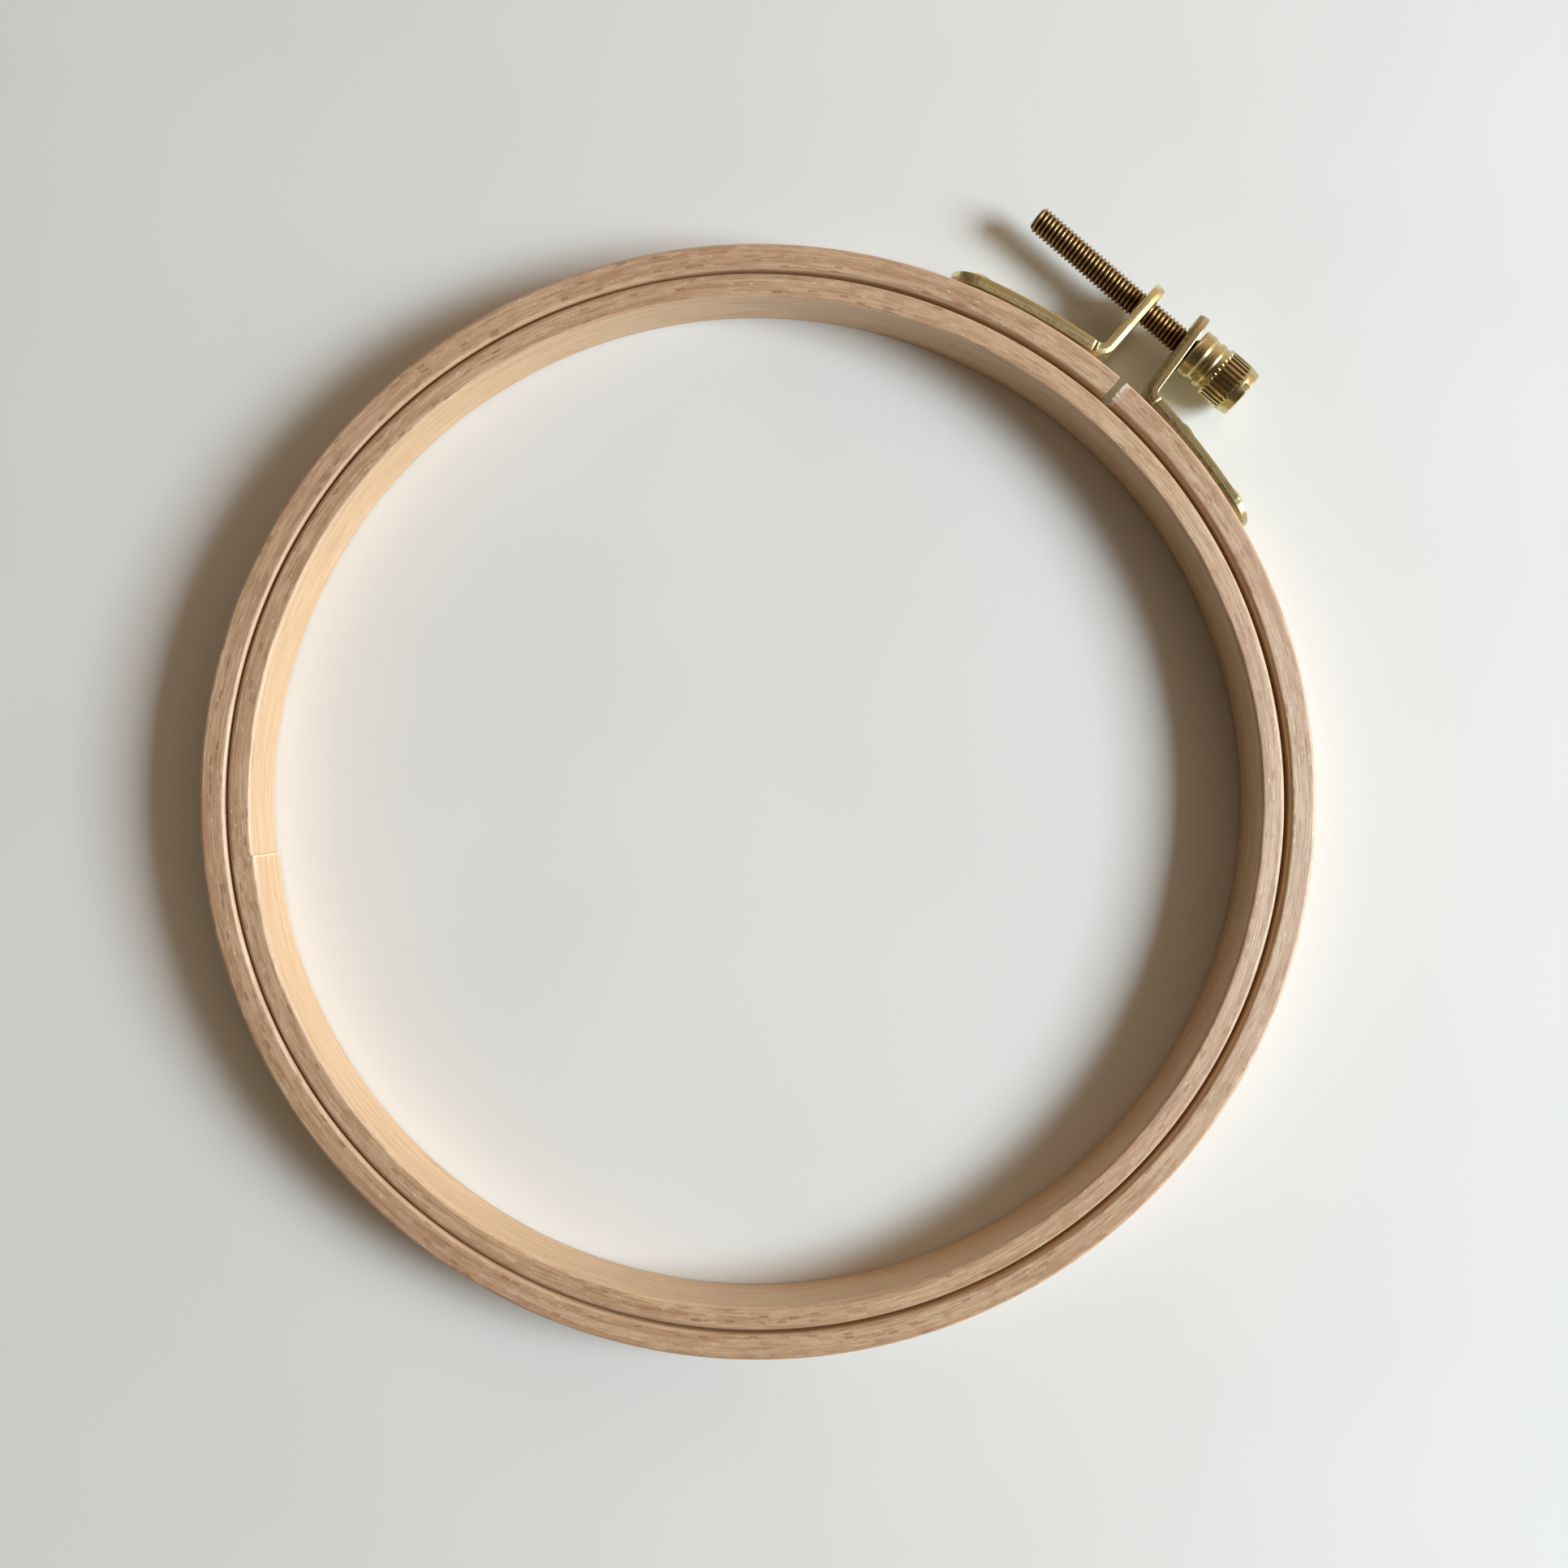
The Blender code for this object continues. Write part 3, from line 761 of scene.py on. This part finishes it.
class Nodes:
    """A material's node tree, with short ways to add what these materials use."""

    def __init__(self, name):
        self.material = bpy.data.materials.new(name)
        self.material.use_nodes = True
        self.tree = self.material.node_tree
        self.shader = self.tree.nodes["Principled BSDF"]

    def link(self, source, target):
        """Sets a socket to a number or a colour, or links another node's output to it."""
        if isinstance(source, (int, float, tuple)):
            target.default_value = source
        else:
            self.tree.links.new(source, target)

    def node(self, kind, **settings):
        made = self.tree.nodes.new(kind)
        for key, value in settings.items():
            setattr(made, key, value)
        return made

    def attribute(self, name, vector=False):
        made = self.node("ShaderNodeAttribute", attribute_name=name)
        return made.outputs["Vector" if vector else "Fac"]

    def math(self, operation, first, second=0.0, clamp=False):
        made = self.node("ShaderNodeMath", operation=operation, use_clamp=clamp)
        self.link(first, made.inputs[0])
        self.link(second, made.inputs[1])
        return made.outputs[0]

    def stretch(self, vector, factors):
        """Scales each axis: a larger factor makes finer detail along it."""
        made = self.node("ShaderNodeVectorMath", operation="MULTIPLY")
        self.link(vector, made.inputs[0])
        made.inputs[1].default_value = factors
        return made.outputs[0]

    def noise(self, vector, detail=3.0, roughness=0.55):
        made = self.node("ShaderNodeTexNoise")
        self.link(vector, made.inputs["Vector"])
        made.inputs["Scale"].default_value = 1.0
        made.inputs["Detail"].default_value = detail
        made.inputs["Roughness"].default_value = roughness
        return made.outputs["Fac"]

    def cells(self, vector, distance="EUCLIDEAN"):
        """Voronoi cells: the distance to a cell's middle, and the cell's own random colour."""
        made = self.node("ShaderNodeTexVoronoi", distance=distance)
        self.link(vector, made.inputs["Vector"])
        made.inputs["Scale"].default_value = 1.0
        return made.outputs["Distance"], made.outputs["Color"]

    def remap(self, value, low, high, to_low=0.0, to_high=1.0):
        made = self.node("ShaderNodeMapRange", interpolation_type="SMOOTHSTEP")
        self.link(value, made.inputs["Value"])
        made.inputs["From Min"].default_value = low
        made.inputs["From Max"].default_value = high
        made.inputs["To Min"].default_value = to_low
        made.inputs["To Max"].default_value = to_high
        return made.outputs["Result"]

    def mix(self, share, first, second):
        made = self.node("ShaderNodeMix", data_type="RGBA")
        self.link(share, made.inputs["Factor"])
        self.link(first, made.inputs[6])
        self.link(second, made.inputs[7])
        return made.outputs[2]

    def bump(self, height, distance, strength):
        made = self.node("ShaderNodeBump")
        made.inputs["Strength"].default_value = strength
        made.inputs["Distance"].default_value = distance
        self.link(height, made.inputs["Height"])
        return made.outputs["Normal"]

    def first_channel(self, colour):
        made = self.node("ShaderNodeSeparateColor")
        self.link(colour, made.inputs[0])
        return made.outputs[0]


def colour(red, green, blue):
    return (red, green, blue, 1.0)


def tinted(rgb, factors):
    return colour(*(c * f for c, f in zip(rgb, factors)))


# Wood
BEECH_LIGHT = (0.630, 0.418, 0.245)
BEECH_MIDDLE = (0.500, 0.290, 0.150)
BEECH_DARK = (0.305, 0.142, 0.060)
PALE_THREAD = colour(0.72, 0.545, 0.400)
PINK_DRIFT = colour(0.53, 0.285, 0.185)
PALE_CELL = colour(0.72, 0.520, 0.350)
RAY_FLECK = colour(0.27, 0.105, 0.055)
PALE_PATCH = colour(0.70, 0.515, 0.365)
# pale specks: a painted highlight on torn fibre ends
SPECK = colour(0.86, 0.70, 0.54)
FACE_LIGHT = colour(0.725, 0.495, 0.285)
FACE_DARK = colour(0.580, 0.335, 0.155)
# rounded corners: partly sanded wear, partly a painted highlight
CORNER_WEAR_AND_HIGHLIGHT = colour(0.70, 0.520, 0.375)
TORN_END = colour(0.90, 0.79, 0.66)
SCARF_LINE = colour(0.90, 0.74, 0.56)

# Brass
STRIP_CLEAN = (1.0, 0.87, 0.54)
STRIP_DULL = (1.0, 0.79, 0.38)
STRIP_TORN = colour(0.31, 0.215, 0.090)
DOME_LIGHT = colour(0.84, 0.73, 0.44)
DOME_DARK = colour(0.60, 0.47, 0.21)
THREAD_DARK = colour(0.125, 0.065, 0.026)
THREAD_CREST_GOLD = colour(0.52, 0.370, 0.175)
HEAD_LIGHT = colour(0.68, 0.585, 0.345)
HEAD_DULL = colour(0.55, 0.445, 0.215)
GROOVE_BROWN = colour(0.24, 0.125, 0.040)

FLOOR_DARK = colour(0.765, 0.760, 0.745)
FLOOR_LIGHT = colour(0.785, 0.780, 0.765)
PER_MM = (1000, 1000, 1000)  # turns metres into millimetres, the unit of every noise below


def beech(name, tint, has_end, has_seam):
    """Sanded steamed beech: lengthwise streaks, dark ray flecks, pale specks painted as highlights, pale
    corners that are partly wear and partly a painted highlight.
    """
    n = Nodes(name)
    grain = n.stretch(n.attribute("grain", vector=True), PER_MM)
    normal = n.node("ShaderNodeNewGeometry").outputs["Normal"]
    split = n.node("ShaderNodeSeparateXYZ")
    n.link(normal, split.inputs[0])
    level = n.math("ABSOLUTE", split.outputs[2])
    wall_share = n.remap(level, 0.35, 0.85, 1.0, 0.0)

    # streaks, from a slow drift of colour to single threads of grain
    drift = n.noise(n.stretch(grain, (0.05, 0.25, 0.25)), 2.0)
    fine = n.noise(n.stretch(grain, (0.11, 4.2, 4.2)), 4.0, 0.60)
    broad = n.noise(n.stretch(grain, (0.030, 1.05, 1.05)), 3.0, 0.5)
    thread = n.noise(n.stretch(grain, (0.34, 9.5, 9.5)), 3.0, 0.65)

    light, middle, dark = (tinted(rgb, tint) for rgb in (BEECH_LIGHT, BEECH_MIDDLE, BEECH_DARK))
    base = n.mix(n.remap(broad, 0.43, 0.57), middle, light)
    base = n.mix(n.remap(fine, 0.49, 0.63, 0.0, 0.66), base, dark)
    base = n.mix(n.remap(thread, 0.49, 0.64, 0.0, 0.44), base, dark)
    base = n.mix(n.remap(thread, 0.36, 0.49, 0.30, 0.0), base, PALE_THREAD)
    base = n.mix(n.remap(drift, 0.42, 0.62, 0.0, 0.30), base, PINK_DRIFT)

    # blocks of slightly different tone, like a fine brickwork
    _, tone = n.cells(n.stretch(grain, (0.36, 1.6, 1.6)), "CHEBYCHEV")
    tone = n.first_channel(tone)
    base = n.mix(n.remap(tone, 0.0, 0.45, 0.24, 0.0), base, dark)
    base = n.mix(n.remap(tone, 0.55, 1.0, 0.0, 0.22), base, PALE_CELL)

    # ray flecks lie in rows, lengthwise
    distance, shade = n.cells(n.stretch(grain, (0.42, 1.55, 1.55)), "CHEBYCHEV")
    chosen = n.remap(n.first_channel(shade), 0.52, 0.56)
    row = n.remap(n.noise(n.stretch(grain, (0.06, 0.8, 0.8)), 1.0), 0.44, 0.58)
    dash = n.remap(distance, 0.22, 0.34, 1.0, 0.0)
    fleck = n.math("MULTIPLY", n.math("MULTIPLY", chosen, dash), row)
    fleck = n.math("MULTIPLY", fleck, n.remap(wall_share, 0.0, 1.0, 0.60, 0.10))
    base = n.mix(fleck, base, RAY_FLECK)

    # paler blocks between them
    pale_distance, pale_shade = n.cells(n.stretch(grain, (0.42, 1.9, 1.9)), "CHEBYCHEV")
    patch = n.remap(n.first_channel(pale_shade), 0.70, 0.90)
    patch = n.math("MULTIPLY", patch, n.remap(pale_distance, 0.22, 0.44, 1.0, 0.0))
    base = n.mix(n.math("MULTIPLY", patch, 0.42), base, PALE_PATCH)

    # torn fibre ends show as tiny pale specks, a painted highlight where they catch the light
    speck_distance, speck_shade = n.cells(n.stretch(grain, (0.42, 1.25, 1.25)))
    speck = n.math("MULTIPLY", n.remap(speck_distance, 0.07, 0.16, 1.0, 0.0), n.first_channel(speck_shade))
    base = n.mix(n.math("MULTIPLY", speck, 0.75), base, SPECK)

    # pores: hair-thin dark dashes
    pore_distance, pore_shade = n.cells(n.stretch(grain, (1.0, 6.5, 6.5)))
    pore = n.math("MULTIPLY", n.remap(pore_distance, 0.12, 0.32, 1.0, 0.0), n.first_channel(pore_shade))
    base = n.mix(n.math("MULTIPLY", pore, 0.34), base, dark)

    # the strip's own faces are plainer and warmer than its sawn edges
    smooth_face = n.mix(n.remap(fine, 0.40, 0.72), FACE_LIGHT, FACE_DARK)
    smooth_face = n.mix(n.math("MULTIPLY", pore, 0.22), smooth_face, dark)
    base = n.mix(n.math("MULTIPLY", wall_share, 0.78), base, smooth_face)

    # rounded corners are paler: partly sanded wear, partly a painted highlight along the edges
    corner = n.remap(n.attribute("corner"), 0.55, 0.98)
    at_corner = n.math("MULTIPLY", corner, n.remap(broad, 0.40, 0.60, 0.40, 0.12))
    base = n.mix(at_corner, base, CORNER_WEAR_AND_HIGHLIGHT)

    # the grain, the specks and the torn fibres stand up, and the pores are sunk
    height = n.math("ADD", n.math("MULTIPLY", fine, 0.8), n.math("MULTIPLY", thread, 0.6))
    height = n.math("SUBTRACT", height, n.math("MULTIPLY", pore, 0.5))
    height = n.math("ADD", height, n.math("MULTIPLY", speck, 0.7))
    if has_end:
        end = n.attribute("end")
        fibre = n.noise(n.stretch(grain, (1.2, 5.5, 2.2)), 3.0, 0.7)
        torn = n.math("MULTIPLY", n.remap(end, 0.12, 0.85), n.remap(fibre, 0.36, 0.60))
        base = n.mix(torn, base, TORN_END)
        height = n.math("ADD", height, n.math("MULTIPLY", torn, 2.0))
    if has_seam:
        seam = n.remap(n.attribute("seam"), 0.2, 1.0)
        base = n.mix(n.math("MULTIPLY", seam, 0.75), base, SCARF_LINE)

    n.link(base, n.shader.inputs["Base Color"])
    n.link(n.remap(fine, 0.3, 0.8, 0.50, 0.60), n.shader.inputs["Roughness"])
    n.link(n.bump(height, 0.06 * MM, 0.8), n.shader.inputs["Normal"])
    # the fibres spread a reflection more to one side than to the other
    around = n.node("ShaderNodeTangent", direction_type="RADIAL", axis="Z")
    n.link(around.outputs[0], n.shader.inputs["Tangent"])
    n.shader.inputs["Anisotropic"].default_value = 0.3
    n.shader.inputs["Anisotropic Rotation"].default_value = 0.25
    n.shader.inputs["Specular IOR Level"].default_value = 1.0
    n.shader.inputs["Coat Weight"].default_value = 0.45
    n.shader.inputs["Coat Roughness"].default_value = 0.52
    n.shader.inputs["Coat IOR"].default_value = 1.7
    return n.material


def object_space(n):
    """The place on the object, in millimetres."""
    return n.stretch(n.node("ShaderNodeTexCoord").outputs["Object"], PER_MM)


def strip_brass(name, bright):
    """Brass-plated strip: plain faces, and a cut edge that is half burnished and half torn.

    Bright is 1 for the left ear and 0 for the right one: a lit and a shaded copy of one brass, the left
    painted lighter and the right painted darker.
    """
    n = Nodes(name)
    place = object_space(n)
    along = n.stretch(n.attribute("strip", vector=True), PER_MM)
    torn = n.attribute("torn")
    cloud = n.noise(n.stretch(place, (0.35, 0.35, 0.35)), 4.0)
    grit = n.noise(n.stretch(along, (4.5, 1.3, 1.3)), 4.0, 0.7)
    striae = n.noise(n.stretch(along, (7.5, 0.45, 0.45)), 3.0, 0.7)
    # both tones are painted lighter on the left ear and darker on the right, a painted lit and shaded copy
    clean = tinted(STRIP_CLEAN, [0.62 + 0.26 * bright] * 3)
    dull = tinted(STRIP_DULL, [0.40 + 0.24 * bright] * 3)
    base = n.mix(n.remap(cloud, 0.35, 0.68), clean, dull)
    base = n.mix(n.remap(striae, 0.45, 0.75, 0.0, 0.40), base, dull)
    # the torn band is painted dark brown: partly its own colour, partly painted shade, much stronger on the
    # right ear
    torn_tone_and_shade = n.math("MULTIPLY", n.remap(torn, 0.3, 1.0), n.remap(grit, 0.36, 0.58, 0.35, 1.0))
    base = n.mix(n.math("MULTIPLY", torn_tone_and_shade, 0.95 - 0.5 * bright), base, STRIP_TORN)
    n.link(base, n.shader.inputs["Base Color"])
    n.shader.inputs["Metallic"].default_value = 1.0
    rough = n.remap(cloud, 0.3, 0.7, 0.24, 0.40)
    rough = n.math("ADD", rough, n.math("MULTIPLY", torn, 0.16))
    n.link(rough, n.shader.inputs["Roughness"])
    lines = n.math("MULTIPLY", striae, 0.5)
    pits = n.math("MULTIPLY", n.math("MULTIPLY", grit, torn), 1.4)
    height = n.math("ADD", lines, pits)
    height = n.math("ADD", height, n.math("MULTIPLY", cloud, 0.6))
    n.link(n.bump(height, 0.045 * MM, 0.8), n.shader.inputs["Normal"])
    return n.material


def rivet_brass(name):
    """Smooth, slightly clouded brass with fine scratches."""
    n = Nodes(name)
    place = object_space(n)
    cloud = n.noise(n.stretch(place, (0.9, 0.9, 0.9)), 5.0)
    scratch = n.noise(n.stretch(place, (1.2, 9.0, 9.0)), 3.0, 0.7)
    base = n.mix(n.remap(cloud, 0.35, 0.65), DOME_LIGHT, DOME_DARK)
    n.link(base, n.shader.inputs["Base Color"])
    n.shader.inputs["Metallic"].default_value = 1.0
    n.link(n.remap(scratch, 0.3, 0.7, 0.22, 0.40), n.shader.inputs["Roughness"])
    n.link(n.bump(scratch, 0.02 * MM, 0.6), n.shader.inputs["Normal"])
    return n.material


def thread_brass(name):
    """Dark in the roots and golden on the crests, following the thread's height, with a mottle."""
    n = Nodes(name)
    place = object_space(n)
    crest = n.attribute("crest")
    mottle = n.noise(n.stretch(place, (1.3, 2.2, 2.2)), 4.0, 0.6)
    grit = n.noise(n.stretch(place, (6.0, 6.0, 6.0)), 3.0, 0.6)
    crest_tone = n.math("ADD", crest, n.math("MULTIPLY", n.math("SUBTRACT", mottle, 0.5), 0.9))
    base = n.mix(n.remap(crest_tone, 0.10, 0.95), THREAD_DARK, THREAD_CREST_GOLD)
    n.link(base, n.shader.inputs["Base Color"])
    n.shader.inputs["Metallic"].default_value = 1.0
    n.link(n.remap(crest_tone, 0.2, 1.0, 0.46, 0.27), n.shader.inputs["Roughness"])
    n.link(n.bump(grit, 0.02 * MM, 0.5), n.shader.inputs["Normal"])
    return n.material


def turned_brass(name):
    """Satin brass turned on a lathe, brown in the grooves."""
    n = Nodes(name)
    place = object_space(n)
    sunk = n.attribute("sunk")
    rings = n.noise(n.stretch(place, (13.0, 0.35, 0.35)), 3.0, 0.65)
    cloud = n.noise(n.stretch(place, (0.6, 0.6, 0.6)), 4.0)
    base = n.mix(n.remap(cloud, 0.35, 0.65), HEAD_LIGHT, HEAD_DULL)
    base = n.mix(n.remap(sunk, 0.25, 1.0, 0.0, 0.85), base, GROOVE_BROWN)
    n.link(base, n.shader.inputs["Base Color"])
    n.shader.inputs["Metallic"].default_value = 1.0
    n.link(n.remap(rings, 0.3, 0.7, 0.20, 0.33), n.shader.inputs["Roughness"])
    n.link(n.bump(rings, 0.003 * MM, 0.5), n.shader.inputs["Normal"])
    return n.material


def floor_material():
    """Plain and pale, very slightly uneven in tone."""
    n = Nodes("floor")
    place = object_space(n)
    soft = n.noise(n.stretch(place, (0.02, 0.02, 0.02)), 2.0)
    base = n.mix(n.remap(soft, 0.3, 0.7), FLOOR_DARK, FLOOR_LIGHT)
    n.link(base, n.shader.inputs["Base Color"])
    n.shader.inputs["Roughness"].default_value = 0.9
    n.shader.inputs["Specular IOR Level"].default_value = 0.1
    return n.material


# ---------------------------------------------------------------- stage

VIEW_TURN = math.radians(40.9)  # the photograph looks straight down, turned by this much
VIEW_RIGHT = Vector((math.cos(VIEW_TURN), math.sin(VIEW_TURN), 0))
VIEW_UP = Vector((-math.sin(VIEW_TURN), math.cos(VIEW_TURN), 0))
CAMERA_PLACE = (1.18 * MM, -3.75 * MM, 210 * MM)
LENS = 32.125  # mm, on a sensor 36 mm wide
FLOOR_DROP = 0.02 * MM  # keeps the floor from sharing a plane with the underside
ROOM_TINT = (1.0, 0.74, 0.49)
ROOM_STRENGTH = 0.86
LIT_SIDE = (0.42, 0.91, 0.0)  # the direction in which the room is brighter
WINDOW_SIZE = (0.50, 0.40)
WINDOW_TINT = (0.78, 0.90, 0.97)


def add_camera():
    """Straight above the hoop, as in the photograph."""
    data = bpy.data.cameras.new("camera")
    data.sensor_width = 36.0
    data.lens = LENS
    data.clip_start = 0.01
    camera = bpy.data.objects.new("camera", data)
    camera.location = CAMERA_PLACE
    camera.rotation_euler = (0, 0, VIEW_TURN)
    bpy.context.scene.collection.objects.link(camera)
    bpy.context.scene.camera = camera


def add_floor():
    bm = bmesh.new()
    bmesh.ops.create_grid(bm, x_segments=1, y_segments=1, size=3.0)
    mesh = bpy.data.meshes.new("floor")
    bm.to_mesh(mesh)
    bm.free()
    floor = new_object("floor", mesh, floor_material())
    floor.location = (0, 0, -FLOOR_DROP)


def add_light(name, azimuth, elevation, distance, size, power, tint):
    """A soft rectangular light aimed at the hoop. Azimuth is counter-clockwise from the view's right."""
    around = math.radians(azimuth)
    flat = VIEW_RIGHT * math.cos(around) + VIEW_UP * math.sin(around)
    rise = math.radians(elevation)
    data = bpy.data.lights.new(name, "AREA")
    data.shape = "RECTANGLE"
    data.size, data.size_y = size
    data.energy = power
    data.color = tint
    light = bpy.data.objects.new(name, data)
    light.location = flat * distance * math.cos(rise) + Vector((0, 0, distance * math.sin(rise)))
    light.rotation_euler = (-light.location).to_track_quat("-Z", "Y").to_euler()
    bpy.context.scene.collection.objects.link(light)


def add_world():
    """A warm room: dimmer overhead than at the horizon, and brighter on one side."""
    world = bpy.data.worlds.new("room")
    bpy.context.scene.world = world
    world.use_nodes = True
    tree = world.node_tree
    background = tree.nodes["Background"]
    place = tree.nodes.new("ShaderNodeTexCoord")
    split = tree.nodes.new("ShaderNodeSeparateXYZ")
    tree.links.new(place.outputs["Generated"], split.inputs[0])
    ramp = tree.nodes.new("ShaderNodeValToRGB")
    horizon, overhead = ramp.color_ramp.elements
    horizon.position, horizon.color = 0.0, colour(0.62, 0.62, 0.64)
    overhead.position, overhead.color = 1.0, colour(0.20, 0.19, 0.18)
    middle = ramp.color_ramp.elements.new(0.45)
    middle.color = colour(0.74, 0.74, 0.75)
    tree.links.new(split.outputs[2], ramp.inputs[0])
    toward = tree.nodes.new("ShaderNodeVectorMath")
    toward.operation = "DOT_PRODUCT"
    tree.links.new(place.outputs["Generated"], toward.inputs[0])
    toward.inputs[1].default_value = LIT_SIDE
    side = tree.nodes.new("ShaderNodeMapRange")
    tree.links.new(toward.outputs["Value"], side.inputs["Value"])
    side.inputs["From Min"].default_value = -0.25
    side.inputs["From Max"].default_value = 0.35
    side.inputs["To Min"].default_value = 0.18
    side.inputs["To Max"].default_value = 1.30
    scale = tree.nodes.new("ShaderNodeVectorMath")
    scale.operation = "SCALE"
    tree.links.new(ramp.outputs[0], scale.inputs[0])
    tree.links.new(side.outputs[0], scale.inputs["Scale"])
    warm = tree.nodes.new("ShaderNodeVectorMath")
    warm.operation = "MULTIPLY"
    warm.inputs[1].default_value = ROOM_TINT
    tree.links.new(scale.outputs[0], warm.inputs[0])
    tree.links.new(warm.outputs[0], background.inputs["Color"])
    background.inputs["Strength"].default_value = ROOM_STRENGTH


bpy.context.scene.view_settings.view_transform = "Standard"
add_camera()
add_floor()
add_world()
add_light("window", azimuth=-6, elevation=34, distance=1.1, size=WINDOW_SIZE, power=17.6, tint=WINDOW_TINT)

outer_ring(beech("outer_beech", (1.0, 1.0, 1.0), has_end=True, has_seam=False))
inner_ring(beech("inner_beech", (1.03, 1.03, 1.03), has_end=False, has_seam=True))
bracket("left_bracket", "tapped_bracket", "hoop_left", LEFT_EAR, strip_brass("left_strip_brass", 1.0))
bracket("right_bracket", "plain_bracket", "hoop_right", RIGHT_EAR, strip_brass("right_strip_brass", 0.0))
domes = rivet_brass("dome_brass")
for ear, word in ((LEFT_EAR, "left"), (RIGHT_EAR, "right")):
    for index in range(2):
        rivet(f"{word}_dome_{index + 1}", f"{word}_rivet_{index + 1}", f"hoop_{word}", ear, index, domes)
screw_rod(thread_brass("thread_brass"))
screw_head(turned_brass("head_brass"))
